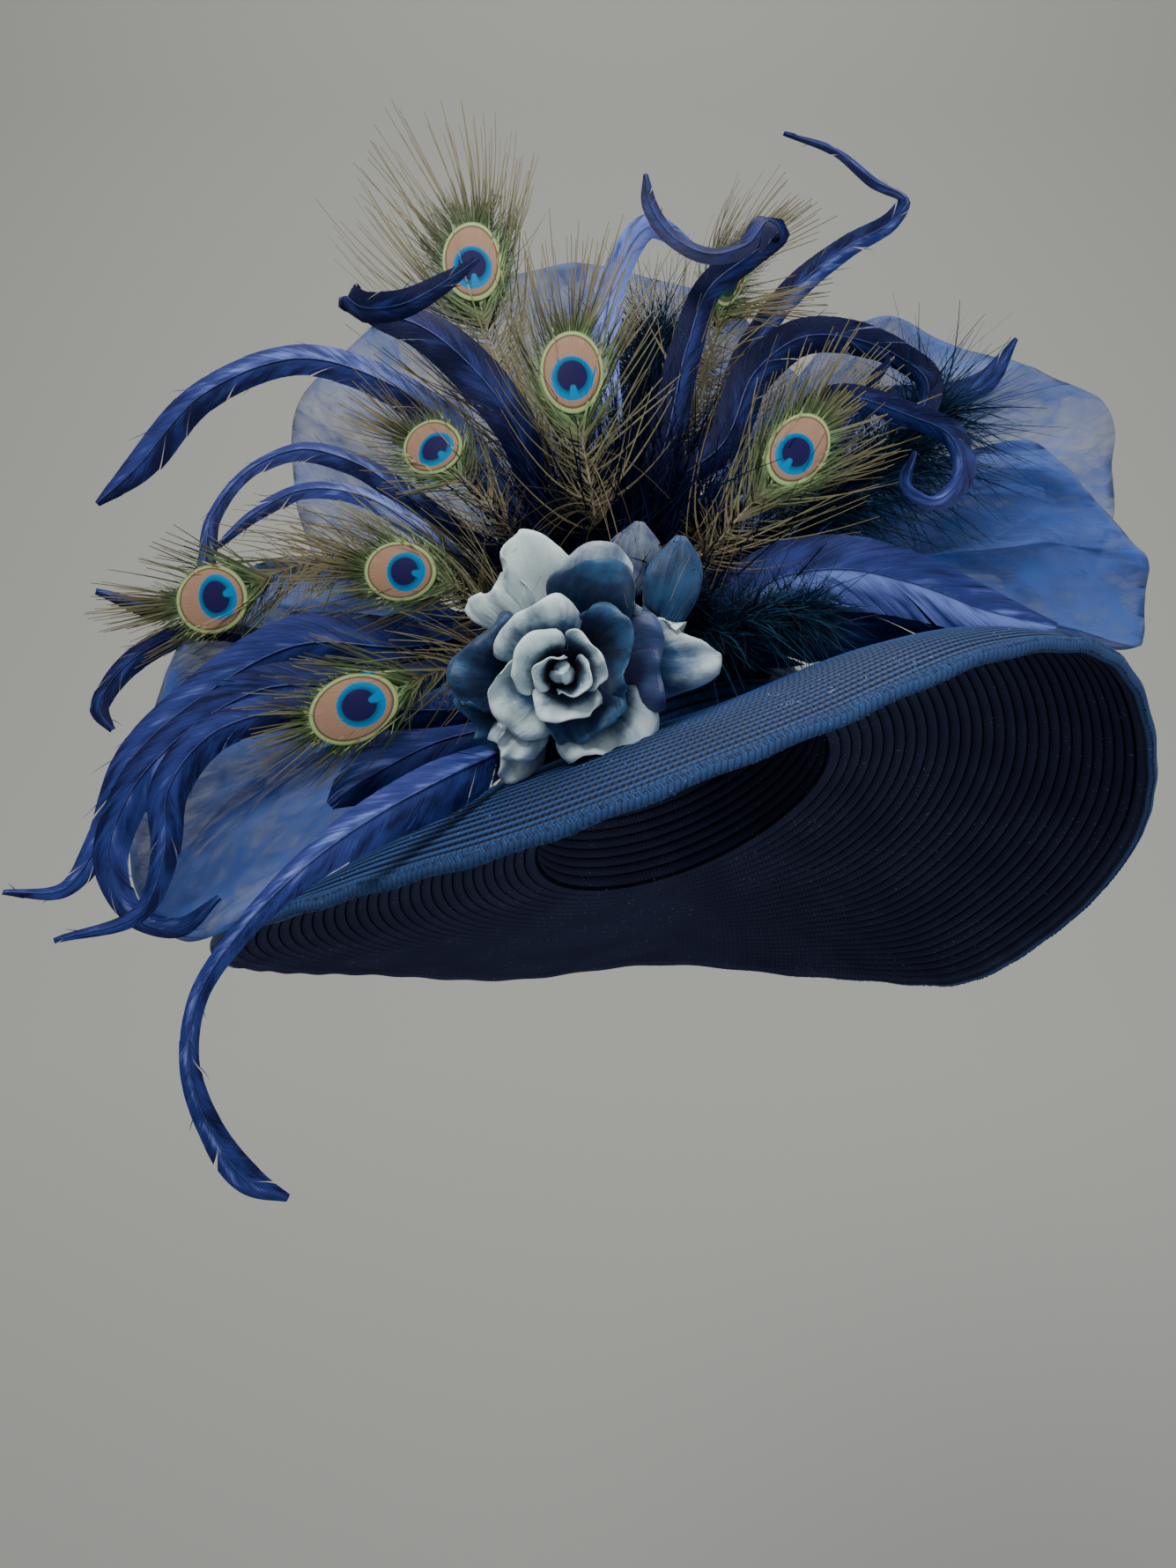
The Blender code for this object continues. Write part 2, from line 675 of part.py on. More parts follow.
def make_trim_pad(material):
    across, up = np.meshgrid(
        np.linspace(-1, 1, PAD_COLUMNS + 1), np.linspace(-1, 1, len(PAD_OUTS)), indexing="ij"
    )
    return shell("trim_pad", pad_point(across, up), pad_point(across, up, face=0.0), material)


# Feathers


def directions(rows):
    """Along a blade, out of its face and across it. rows: x, y, z, half_width, twist.

    The blade faces the front, turned about its own length by its twist.
    """
    along = unit(np.gradient(rows[:, :3], axis=0))
    face = unit(FRONT - along * (along @ FRONT)[:, None])
    turn = np.radians(rows[:, 4])[:, None]
    front = face * np.cos(turn) + np.cross(along, face) * np.sin(turn)
    return along, front, np.cross(along, front)


def ribbon_loops(rows, count, across):
    """Cross-sections of a blade along a smooth curve. rows: x, y, z, half_width, twist."""
    rows = through(rows, count)
    middle = rows[:, :3]
    half = rows[:, 3][:, None]
    _, front, side = directions(rows)
    top = []
    under = []
    for share in np.linspace(-1, 1, across + 1):
        edge = middle + side * half * share - front * half * BLADE_CUP * share**2
        bulk = front * (BLADE_THICK / 2 * (1 - share**2)) * np.clip(half / FULL_BLADE, 0.5, 1)
        top.append(edge + bulk)
        under.append(edge - bulk)
    return np.stack([*top, *under[-2:0:-1]], axis=1)


def make_blade(name, seat_at, rows, material, count, across=2):
    """A feather whose vane is one blade, from its seat on the pad to its tip."""
    rows = np.array(rooted(seat_at, rows))
    rows[:2, 3] = STEM_HALF
    return loft(name, ribbon_loops(rows, count, across), material)


def way_to_tip(middle):
    """Each point's way to the last one, along the line."""
    gaps = np.linalg.norm(np.diff(middle, axis=0), axis=1)
    return np.concatenate([np.cumsum(gaps[::-1])[::-1], [0.0]])


def make_barbed(name, rows, barbs, tip_reach, material, thick):
    """A flat stem with pointed strips fused along both its sides.

    rows: x, y, z, half_width, twist at each section. barbs: a function of a section's share of the length,
    from 0 at the tip to 1 at the seat, that gives the strip's lean in degrees, its reach and its droop, or
    None.
    """
    middle = rows[:, :3]
    to_tip = way_to_tip(middle)
    along, front, side = directions(rows)
    points = []
    for k, row in enumerate(rows):
        for way in (-1, 1):
            for layer in (1, -1):
                points.append(middle[k] + side[k] * row[3] * way + front[k] * layer * thick / 2)
    faces = [(0, 1, 3, 2)]
    for k in range(len(rows) - 1):
        a = 4 * k
        b = a + 4
        faces.append((a, a + 2, b + 2, b))
        faces.append((a + 1, b + 1, b + 3, a + 3))
        barb = barbs((to_tip[k] + to_tip[k + 1]) / 2 / to_tip[0])
        for first, way in ((0, -1), (2, 1)):
            edge = (a + first, a + first + 1, b + first + 1, b + first)
            if barb is None:
                faces.append(edge)
                continue
            lean, reach, droop = barb
            lean = math.radians(lean)
            base = sum(points[n] for n in edge) / 4
            heading = along[k] * math.cos(lean) + side[k] * way * math.sin(lean) - front[k] * droop
            faces.extend((edge[n], edge[(n + 1) % 4], len(points)) for n in range(4))
            points.append(base + heading * reach)
    last = 4 * (len(rows) - 1)
    end = (last, last + 2, last + 3, last + 1)
    faces.extend((end[n], end[(n + 1) % 4], len(points)) for n in range(4))
    points.append(middle[-1] + along[-1] * tip_reach)
    return add(name, np.array(points), faces, material)


def make_eye_feather(name, seat_at, rows, eye, material):
    """A peacock feather: a stem that swells into the eye, and barbs fused to it as pointed strips.

    rows: x, y, z, twist, and the last row is the top of the eye.
    eye: half_width, half_length, side_reach and crest_reach of the barbs, and how far the crest spreads.
    """
    half_width, half_length, side_reach, crest_reach, crest_lean = eye
    path = through([(x, y, z, 1.0, twist) for x, y, z, twist in rooted(seat_at, rows)], EYE_SECTIONS)
    to_tip = way_to_tip(path[:, :3])
    oval = np.clip(1 - ((to_tip - half_length) / half_length) ** 2, 0, 1)
    path[:, 3] = np.maximum(1.0, half_width * np.sqrt(oval))
    path[0, 3] = STEM_HALF[0]

    def barbs(share):
        if share > EYE_BARE_STEM:
            return None
        lean = crest_lean + (SIDE_LEAN - crest_lean) * math.sin(math.pi / 2 * min(1.0, share / LEAN_SHARE))
        crest = max(0.0, 1 - share / CREST_SHARE)
        side = side_reach * (1 - LOW_BARBS_SHORTER * share / EYE_BARE_STEM)
        return lean, side * (1 - crest) + crest_reach * crest, EYE_BARB_DROOP

    return make_barbed(name, path, barbs, crest_reach - half_length, material, BARBED_THICK)


def make_plume(name, seat_at, rows, locks, material):
    """A soft plume: locks fused to both sides of its stem.

    rows: x, y, z, half_width, twist. locks: lean, reach and droop.
    """
    lean, reach, droop = locks
    path = through(rooted(seat_at, rows), PLUME_SECTIONS)
    path[:2, 3] = STEM_HALF

    def barbs(share):
        if share > PLUME_BARE_STEM:
            return None
        return lean, reach * (1 - TIP_LOCKS_SHORTER * (1 - share) ** 2), droop

    return make_barbed(name, path, barbs, reach * TIP_LOCK_SHARE, material, PLUME_THICK)


# Net


def make_net(name, seat_at, gather, rim, folds, material):
    """A fan of net, gathered at its seat, in soft folds that deepen towards its rim.

    rim: x, y, z along its outer edge. folds: how many, how deep, and how far the fan bellies to the front.
    """
    count, deep, belly = folds
    edge = through(rim, NET_CELLS[0] + 1)
    root, away = seat(*seat_at, stand=NET_STAND)
    across = edge[-1] - edge[0]
    across = unit(across - away * (across @ away))
    grid = []
    for k, point in enumerate(edge):
        share = k / NET_CELLS[0]
        start = root + across * gather * (2 * share - 1)
        bend = (start + point) / 2 + away * NET_RISE + FRONT * belly
        line = []
        for step in np.linspace(0, 1, NET_CELLS[1] + 1):
            here = start * (1 - step) ** 2 + bend * 2 * step * (1 - step) + point * step**2
            wave = math.sin(2 * math.pi * count * share) * deep * step**NET_FOLD_POWER
            line.append(here + FRONT * wave)
        grid.append(line)
    grid = np.array(grid)
    normal = unit(np.cross(np.gradient(grid, axis=0), np.gradient(grid, axis=1)))
    return shell(name, grid + normal * NET_THICK / 2, grid - normal * NET_THICK / 2, material)


# Rose


def rose_point(radius, turn, high):
    """A place in the rose. Seen from its front, turn runs from the right, against the clock."""
    forward = unit(np.array(ROSE_FACES))
    right = unit(np.cross([0, 0, 1], forward))
    above = np.cross(forward, right)
    turn = np.radians(turn)[..., None]
    flat = right * np.cos(turn) + above * np.sin(turn)
    return np.array(ROSE_AT) + flat * radius[..., None] + forward * high[..., None]


def make_petal(name, shape, material):
    """One petal, a cupped wall with a rounded rim.

    shape: turn, spread, base, belly, belly_high, rim, rim_high.
    """
    turn, spread, base, belly, belly_high, rim, rim_high = shape
    side, out = np.meshgrid(
        np.linspace(-1, 1, PETAL_CELLS[0] + 1), np.linspace(0, 1, PETAL_CELLS[1] + 1), indexing="ij"
    )
    way = out * (1 - PETAL_ROUND * side**2)
    radius = (1 - way) ** 2 * base + 2 * way * (1 - way) * belly + way**2 * rim
    foot = ROSE_BASE - ROSE_CONE * base
    high = (1 - way) ** 2 * foot + 2 * way * (1 - way) * belly_high + way**2 * rim_high
    radius = radius + side * (PETAL_WRAP[0] + PETAL_WRAP[1] * way)
    full = 1 - PETAL_NARROW * (1 - np.sin(way * PETAL_WIDEST))
    angle = turn + side * spread * full
    grid = rose_point(radius, angle, high)
    normal = unit(np.cross(np.gradient(grid, axis=0), np.gradient(grid, axis=1)))
    return shell(name, grid + normal * PETAL_THICK / 2, grid - normal * PETAL_THICK / 2, material)


def rose_ring(radius, high):
    """A ring of points about the rose's own line."""
    turns = np.arange(CALYX_SIDES) * 360.0 / CALYX_SIDES
    return rose_point(np.full(CALYX_SIDES, radius), turns, np.full(CALYX_SIDES, high))


def make_bud(material):
    return loft("rose_bud", [rose_ring(radius, high) for high, radius in BUD_SHAPE], material)


def make_calyx(material):
    """The stem and cup that carry the petals, from the pad to the rose."""
    start, _ = seat(*CALYX_SEAT)
    first_high, _ = CALYX_CUP[0]
    end = rose_ring(0.0, first_high - CALYX_NECK)[0]
    loops = []
    for share, radius in CALYX_STEM:
        loops.append(rose_ring(radius, 0.0) - np.array(ROSE_AT) + start + (end - start) * share)
    loops += [rose_ring(radius, high) for high, radius in CALYX_CUP]
    return loft("rose_calyx", loops, material)


def clear_scene():
    for piece in list(bpy.data.objects):
        bpy.data.objects.remove(piece, do_unlink=True)


def main():
    clear_scene()
    straw = colour("straw_braid", (0.035, 0.085, 0.22), 0.5, 0.2)
    edge = colour("edge_straw", (0.05, 0.11, 0.27), 0.5, 0.2)
    felt = colour("pad_felt", (0.01, 0.012, 0.03), 0.9)
    peacock = colour("peacock_barbs", (0.16, 0.14, 0.05), 0.6, 0.3)
    cock = colour("cock_feather_blue", (0.02, 0.03, 0.22), 0.5, 0.3)
    goose = colour("goose_feather_blue", (0.02, 0.03, 0.25), 0.5, 0.3)
    fluff = colour("plume_navy", (0.005, 0.012, 0.04), 0.9, 0.4)
    net = colour("net_blue", (0.05, 0.12, 0.4), 0.8)
    silk = colour("petal_silk", (0.25, 0.36, 0.42), 0.45, 0.2)
    leaf = colour("leaf_silk", (0.03, 0.09, 0.25), 0.45, 0.2)
    make_hat_body(straw)
    make_edge_braid(edge)
    make_trim_pad(felt)
    for name, (seat_at, rows, eye) in PEACOCK_FEATHERS.items():
        make_eye_feather(name, seat_at, rows, eye, peacock)
    for name, (seat_at, rows) in COCK_FEATHERS.items():
        sections = COCK_SECTIONS_PER_ROW * (len(rows) + 1)
        make_blade(name, seat_at, rows, cock, sections)
    for name, (seat_at, rows) in GOOSE_FEATHERS.items():
        make_blade(name, seat_at, rows, goose, GOOSE_SECTIONS, across=BROAD_ACROSS)
    for name, (seat_at, rows, locks) in PLUMES.items():
        make_plume(name, seat_at, rows, locks, fluff)
    for name, (seat_at, gather, rim, folds) in NETS.items():
        make_net(name, seat_at, gather, rim, folds, net)
    make_calyx(leaf)
    make_bud(silk)
    for name, shape in ROSE_PETALS.items():
        make_petal(name, shape, silk)
    for name, (seat_at, rows) in ROSE_LEAVES.items():
        make_blade(name, seat_at, rows, leaf, LEAF_SECTIONS)


if __name__ == "__main__":
    main()
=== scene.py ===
"""A worn church hat, dressed over its solid frame: straw braid, feathers, net and a silk rose.

The tables are in millimetres and degrees, as in the solid model. The properties are in metres.
"""

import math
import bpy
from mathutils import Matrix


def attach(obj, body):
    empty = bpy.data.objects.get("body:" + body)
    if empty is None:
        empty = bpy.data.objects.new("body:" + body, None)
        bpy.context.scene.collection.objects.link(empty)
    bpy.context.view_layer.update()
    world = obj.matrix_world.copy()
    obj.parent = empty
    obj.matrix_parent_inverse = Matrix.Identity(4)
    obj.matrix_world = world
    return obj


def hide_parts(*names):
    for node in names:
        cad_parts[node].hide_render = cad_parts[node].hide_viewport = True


bl_info = {
    "name": "Church Hat",
    "version": (1, 0, 0),
    "blender": (4, 5, 0),
    "location": "3D View > Sidebar > Hat",
    "description": "Dresses a straw braid church hat with a silk rose, feathers and net",
    "category": "Object",
}

import bmesh
import bpy
import numpy as np
from mathutils import Vector

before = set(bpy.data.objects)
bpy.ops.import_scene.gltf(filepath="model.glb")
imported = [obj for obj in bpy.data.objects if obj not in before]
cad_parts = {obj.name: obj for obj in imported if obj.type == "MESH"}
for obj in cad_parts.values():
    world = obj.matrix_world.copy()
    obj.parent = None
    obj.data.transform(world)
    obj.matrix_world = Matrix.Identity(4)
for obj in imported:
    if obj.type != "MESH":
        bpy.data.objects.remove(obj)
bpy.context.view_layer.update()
MM = 0.001

# Hat body
HEAD_WIDE = 164.0
HEAD_LONG = 198.0
CROWN_HIGH = 115.0
CROWN_FULLNESS = 2.7  # 2 is a plain ellipse, more is a squarer crown
BRIM_WIDE = 165.0
STRAW_THICK = 2.0
EDGE_WIDE = 10.0
TILT_SIDE = 19.0  # how far the +X side of the hat is raised
TILT_BACK = 20.0  # how far the front of the hat is raised
STRAIGHT = 1e-4  # the least bend, in radians, that the brim's formula takes
PROBE = 0.4  # how far from a point its surface's direction is measured

# How the brim falls below the hat's own level, where it leaves the crown and at its edge.
# azimuth, fall_at_crown, fall_at_edge
BRIM_FALL = (
    (0.0, 17, 61),
    (22.5, 27, 57),
    (45.0, 27, 55),
    (67.5, 17, 27),
    (90.0, 5, -1),
    (112.5, 3, -11),
    (135.0, 1, -17),
    (157.5, 2, -13),
    (180.0, 3, -2),
    (202.5, 3, 14),
    (225.0, 0, 39),
    (247.5, 8, 48),
    (270.0, 14, 43),
    (292.5, 2, 45),
    (315.0, -12, 60),
    (337.5, 2, 67),
)

# The pad on the front of the crown that carries every stem
PAD_FROM = 202.5  # azimuths, on the shell's own columns of points
PAD_TO = 303.75
PAD_COLUMNS = 9
PAD_STAND = 0.8  # off the crown at its points, so that its wider facets clear it
PAD_RIM = 1.6
PAD_BULGE = 50.0
PAD_LEAN = 12.0  # direction of the bulge above the hat's level
PAD_SHARPNESS = 1.1  # 1 is a plain cosine bulge, more is a narrower one

# Peacock feathers.
# name: seat on the pad (across, up), the eye's half_width, half_length, side_reach, crest_reach, crest_lean,
# narrowness and sway, and rows of x, y, z, twist up to the top of the eye
PEACOCK_FEATHERS = {
    "peacock_feather_tall": ((-0.05, 0.3), (17, 24, 62, 108, 30, 0.86, -0.16), (
        (-77, -90, 176, 0), (-90, -80, 205, 0), (-102, -66, 245, 0), (-106, -60, 265, 0),
        (-107, -53, 289, 0),
    )),
    "peacock_feather_middle": ((0.05, -0.05), (14, 20, 40, 84, 24, 1.0, 0.06), (
        (-46, -136, 119, 0), (-50, -138, 145, 0), (-54, -137, 165, 0), (-56, -134, 184, 0),
        (-56, -130, 204, 0),
    )),
    "peacock_feather_slim": ((0.35, 0.65), (14, 18, 28, 92, 14, 0.62, 0.2), (
        (2, -54, 187, 25), (16, -34, 239, 30), (23, -24, 272, 35), (32, -18, 288, 35),
    )),
    "peacock_feather_right": ((0.45, 0.0), (16, 21, 50, 84, 28, 0.84, 0.1), (
        (2, -124, 106, 0), (20, -122, 126, 6), (33, -118, 140, 10), (45, -112, 156, 10),
        (57, -105, 173, 10),
    )),
    "peacock_feather_upper_left": ((-0.3, 0.1), (14, 15, 42, 62, 26, 1.0, 0.06), (
        (-88, -106, 126, 0), (-105, -100, 146, 0), (-121, -92, 163, 0), (-133, -87, 171, 0),
    )),
    "peacock_feather_mid_left": ((-0.4, -0.15), (13, 16, 38, 62, 24, 1.0, 0.06), (
        (-90, -136, 80, 0), (-112, -142, 91, 0), (-129, -140, 95, 0), (-145, -137, 97, 0),
    )),
    "peacock_feather_far_left": ((-0.5, 0.1), (16, 17, 40, 60, 26, 1.0, 0.06), (
        (-123, -117, 108, 0), (-155, -112, 111, 0), (-184, -106, 104, 0), (-220, -100, 91, 0),
        (-237, -98, 88, 0),
    )),
    "peacock_feather_low_left": ((-0.35, -0.35), (14, 19, 36, 54, 26, 1.0, 0.06), (
        (-92, -134, 58, 0), (-114, -160, 48, 0), (-144, -168, 33, 0), (-162, -166, 26, 0),
    )),
}

# Cock feathers.
# name: seat on the pad (across, up), dye, and rows of x, y, z, half_width, twist. The dye is its shade at
# the root, in the middle and at the tip, and how much lighter the +side is. The shades run from 0, navy,
# through 0.5, royal blue, to 1, pale periwinkle.
COCK_FEATHERS = {
    "cock_feather_long_left": ((-0.25, 0.5), (0.95, 0.5, 0.15, 0.15), (
        (-107, -76, 169, 9, 5), (-142, -66, 201, 9, 8), (-190, -62, 217, 8, 5), (-237, -62, 199, 8, 0),
        (-270, -64, 160, 7, 0), (-286, -66, 144, 1.5, 0),
    )),
    "cock_feather_curl_left": ((-0.2, 0.3), (0.2, 0.05, 0.05, 0.05), (
        (-82, -106, 170, 10, 5), (-101, -105, 196, 11, 5), (-125, -102, 217, 10, 15),
        (-148, -98, 227, 8, 50), (-159, -104, 231, 7, 75), (-151, -116, 221, 7, 60),
        (-131, -127, 218, 6, 35), (-111, -127, 229, 4, 20), (-98, -124, 240, 1.5, 10),
    )),
    "cock_feather_arch_left": ((-0.45, 0.5), (0.5, 0.45, 0.2, 0.1), (
        (-132, -70, 144, 6, 10), (-163, -65, 165, 6, 20), (-188, -65, 171, 6, 35), (-212, -70, 159, 5, 45),
        (-228, -76, 134, 5, 40), (-231, -82, 107, 5, 20), (-247, -86, 90, 5, 0), (-278, -88, 97, 1.5, 0),
    )),
    "cock_feather_low_arch": ((-0.6, 0.3), (0.8, 0.7, 0.15, 0.1), (
        (-125, -94, 123, 5, 20), (-154, -92, 141, 5, 30), (-183, -90, 144, 5, 35), (-203, -92, 133, 4, 25),
        (-220, -96, 116, 1.5, 10),
    )),
    "cock_feather_wave_left": ((-0.65, 0.0), (0.3, 0.35, 0.3, 0.08), (
        (-133, -124, 65, 13, -15), (-176, -120, 67, 13, -10), (-218, -122, 44, 11, 0),
        (-247, -128, 15, 9, 10), (-259, -134, -22, 7, 10), (-271, -136, -40, 4, 20),
        (-299, -134, -42, 1.2, 30),
    )),
    "cock_feather_hook_left": ((-0.6, -0.25), (0.55, 0.32, 0.4, -0.1), (
        (-142, -144, 45, 9, -10), (-187, -144, 44, 10, -5), (-219, -146, 25, 9, 0), (-241, -150, -2, 9, 10),
        (-248, -152, -30, 8, 15), (-237, -152, -52, 6, 40), (-219, -150, -57, 5, 50),
        (-203, -146, -44, 1.5, 50),
    )),
    "cock_feather_fork_left": ((-0.5, -0.55), (0.35, 0.25, 0.3, 0.08), (
        (-104, -138, 36, 6, 0), (-129, -154, 34, 8, 0), (-172, -160, 34, 8, 0), (-206, -163, 21, 8, 0),
        (-220, -166, -1, 8, 0), (-220, -168, -24, 6, 0), (-228, -168, -48, 4, 10),
        (-264, -168, -61, 1.2, 20),
    )),
    "cock_feather_short_left": ((-0.75, 0.3), (0.2, 0.15, 0.1, 0.0), (
        (-200, -86, 76, 4, 0), (-233, -84, 79, 5, 0), (-257, -84, 69, 6, 10), (-272, -84, 54, 6, 20),
        (-276, -86, 43, 5, 10), (-269, -88, 32, 1.5, 0),
    )),
    "cock_feather_hanging": ((-0.3, -0.7), (0.45, 0.5, 0.4, 0.1), (
        (-74, -140, 24, 4, 0), (-86, -174, 14, 6, 0), (-105, -200, 2, 9, 5), (-127, -216, -12, 8, 5),
        (-149, -232, -30, 6, 10), (-172, -240, -55, 4, 10), (-186, -240, -77, 3.5, 0),
        (-190, -236, -99, 3.5, -10), (-185, -226, -125, 4.5, -10), (-171, -214, -148, 5, -10),
        (-160, -208, -154, 1.5, -10),
    )),
    "cock_feather_light_arch": ((0.0, 0.55), (0.85, 1.05, 0.95, 0.1), (
        (-44, -74, 173, 10, 0), (-42, -62, 221, 9, 5), (-34, -56, 264, 7, 15), (-18, -54, 287, 6, 30),
        (4, -54, 274, 3, 30),
    )),
    "cock_feather_upright": ((0.2, 0.5), (0.05, 0.1, 0.15, 0.1), (
        (-19, -90, 148, 7, 0), (-12, -82, 171, 8, 5), (-1, -72, 220, 8, 10), (12, -66, 253, 7, 20),
        (29, -70, 265, 7, 35), (43, -76, 274, 7, 45), (36, -88, 274, 7, 45), (26, -94, 260, 7, 40),
        (12, -92, 256, 6, 30), (-6, -84, 266, 5, 30), (-19, -76, 288, 4, 20), (-21, -70, 306, 1.2, 0),
    )),
    "cock_feather_kinked": ((0.45, 0.6), (0.35, 0.4, 0.2, 0.2), (
        (19, -29, 193, 8, 0), (40, 4, 251, 7, 10), (66, 9, 285, 7, 15), (92, 8, 305, 6, 20),
        (118, 8, 321, 5, 40), (124, 9, 330, 5, 60), (106, 8, 341, 4, 20), (87, 10, 358, 3, 10),
        (58, 12, 370, 1.2, 0),
    )),
    "cock_feather_ring": ((0.4, 0.25), (0.1, 0.08, 0.1, 0.05), (
        (17, -74, 173, 9, 5), (33, -66, 210, 10, 10), (58, -60, 229, 9, 20), (84, -58, 228, 8, 40),
        (103, -60, 219, 7, 60), (116, -64, 206, 7, 70), (112, -70, 189, 7, 60), (97, -76, 183, 6, 55),
        (86, -82, 196, 5, 55), (94, -84, 208, 1.5, 50),
    )),
    "cock_feather_small_ring": ((0.6, 0.2), (0.3, 0.3, 0.35, 0.1), (
        (30, -94, 154, 6, 5), (67, -92, 188, 6, 20), (99, -96, 178, 6, 45), (118, -100, 167, 6, 60),
        (121, -106, 147, 6, 65), (107, -110, 134, 6, 60), (95, -112, 141, 5, 55), (99, -112, 156, 1.5, 50),
    )),
    "cock_feather_far_right": ((0.7, 0.5), (0.2, 0.3, 0.4, 0.05), (
        (52, -46, 153, 5, 0), (99, -34, 206, 6, 10), (136, -30, 209, 7, 20), (154, -28, 217, 6, 10),
        (171, -28, 240, 1.2, 0),
    )),
}

# Goose feathers: as the cock feathers, but broad
GOOSE_FEATHERS = {
    "goose_feather_top": ((0.6, -0.05), (0.4, 0.6, 0.7, 0.2), (
        (10, -124, 83, 12, 5), (37, -122, 97, 16, 5), (65, -118, 101, 17, 0), (98, -114, 95, 15, 0),
        (130, -110, 84, 11, 0), (162, -108, 77, 2, 0),
    )),
    "goose_feather_under": ((0.65, -0.4), (0.0, 0.05, 0.1, 0.0), (
        (30, -106, 72, 12, 0), (54, -106, 76, 14, 0), (83, -104, 83, 12, 0), (108, -102, 84, 10, 0),
        (130, -98, 84, 3, 0),
    )),
    "goose_feather_left": ((-0.55, -0.8), (0.3, 0.35, 0.4, 0.1), (
        (-91, -118, 30, 10, 0), (-114, -122, 24, 14, 0), (-136, -130, 12, 14, 0), (-150, -134, 3, 9, 0),
        (-159, -138, -5, 2, 0),
    )),
}

# Plumes.
# name: seat on the pad, the strands' lean and reach, and rows of x, y, z, half_width, twist
PLUMES = {
    "plume_right": ((0.75, 0.3), (48, 44), (
        (40, -62, 128, 4, 0), (76, -58, 152, 7, 0), (104, -54, 174, 8, 0), (124, -50, 194, 5, 0),
    )),
    "plume_behind": ((0.15, 0.9), (42, 40), (
        (-22, -24, 180, 6, 0), (-18, -6, 225, 6, 0), (-10, 10, 255, 3, 0),
    )),
    "plume_dark": ((0.4, -0.35), (55, 18), (
        (6, -138, 68, 4, 0), (22, -143, 76, 6, 0), (38, -142, 78, 5, 0), (50, -138, 78, 3, 0),
    )),
}

# Net.
# name: seat on the pad, half width of the gather, how much denser it is than the cloth, the folds' count,
# depth and belly, and the rim as x, y, z
NETS = {
    "net_right_back": ((0.8, 0.75), (5, -0.16, 4, 9, -14), (
        (62, 32, 204), (88, 30, 264), (124, 26, 272), (152, 22, 256), (196, 16, 238), (224, 10, 219),
        (231, 2, 188), (230, -6, 155), (217, -10, 122),
    )),
    "net_right_front": ((0.9, 0.45), (5, 0.08, 4, 7, -6), (
        (142, -16, 182), (180, -20, 190), (210, -24, 161), (231, -30, 123), (226, -36, 79), (185, -42, 84),
    )),
    "net_left": ((-0.8, -0.1), (5, 0.08, 4, 7, 0), (
        (-140, -66, 122), (-206, -72, 112), (-242, -84, 66), (-254, -94, 22), (-254, -104, -14),
        (-250, -116, -48), (-222, -132, -62), (-180, -142, -46), (-136, -140, -18),
    )),
    "net_top": ((-0.25, 0.95), (6, -0.32, 5, 9, -14), (
        (-196, 2, 132), (-204, 6, 168), (-206, 10, 208), (-182, 14, 252), (-110, 18, 292), (-40, 26, 300),
        (40, 32, 268), (76, 32, 232),
    )),
}

# Rose petals.
# name: turn, spread, base, belly, belly_high, rim, rim_high, foot_shade, rim_shade, plum, curl, ruffle. The
# shades run from 0, deep teal, to 1, pale silver: the silk's dye, with the feet darker as painted shade and
# the rims lighter as painted highlight. Curl and ruffle are those of the rim.
ROSE_PETALS = {
    "rose_heart_petal_left": (150, 80, 4.6, 8.5, 18, 6.5, 34, 0.4, 1.0, 0.0, 0.4, 0.6),
    "rose_heart_petal_right": (330, 80, 4.6, 9, 18, 8, 32, 0.15, 0.75, 0.0, 0.4, 0.6),
    "rose_inner_petal_right": (25, 62, 7.0, 13, 16, 14, 30, 0.2, 0.95, 0.0, 0.5, 1.2),
    "rose_inner_petal_left": (150, 66, 7.0, 13, 16, 14, 30, 0.4, 1.0, 0.0, 1.3, 0.8),
    "rose_inner_petal_low": (272, 64, 7.0, 13, 16, 14, 30, 0.3, 1.0, 0.0, 1.1, 1.6),
    "rose_mid_petal_upper_left": (118, 50, 9.4, 20, 11, 24, 26, 0.3, 0.9, 0.0, 2.4, 1.4),
    "rose_mid_petal_right": (24, 50, 9.4, 22, 11, 27, 24, 0.0, 0.4, 0.05, 0.5, 2.0),
    "rose_mid_petal_lower_left": (212, 50, 9.4, 20, 11, 24, 26, 0.35, 0.95, 0.0, 1.6, 1.4),
    "rose_mid_petal_low": (298, 50, 9.4, 20, 11, 24, 26, 0.0, 0.34, 0.0, 0.8, 2.2),
    "rose_outer_petal_left": (170, 40, 11.8, 30, 4, 37, 20, 0.0, 0.2, 0.0, 2.2, 2.0),
    "rose_outer_petal_top": (66, 36, 11.8, 30, 4, 40, 24, 0.0, 0.24, 0.0, 1.7, 1.6),
    "rose_outer_petal_right": (2, 38, 11.8, 29, 4, 38, 20, 0.02, 0.26, 0.45, 0.9, 2.0),
    "rose_outer_petal_low_right": (306, 42, 11.8, 26, 4, 33, 27, 0.05, 1.0, 0.0, 1.5, 2.6),
    "rose_outer_petal_lower_left": (236, 22, 11.8, 26, 4, 33, 22, 0.35, 0.95, 0.0, 1.2, 2.0),
    "rose_back_petal_upper_left": (131, 20, 14.2, 34, -4, 46, 2, 0.7, 0.85, 0.0, 0.7, 2.2),
    "rose_back_petal_top": (98, 28, 14.2, 37, -4, 53, 4, 0.85, 1.0, 0.0, 0.8, 2.2),
    "rose_back_petal_right": (5, 26, 14.2, 40, -4, 58, 6, 0.2, 1.0, 0.1, 1.6, 3.0),
    "rose_back_petal_lower_left": (208, 24, 14.2, 32, -4, 43, 8, 0.05, 0.28, 0.15, 0.7, 2.0),
    "rose_back_petal_low": (236, 20, 14.2, 32, -4, 41, 14, 0.4, 0.75, 0.25, 1.0, 2.4),
}

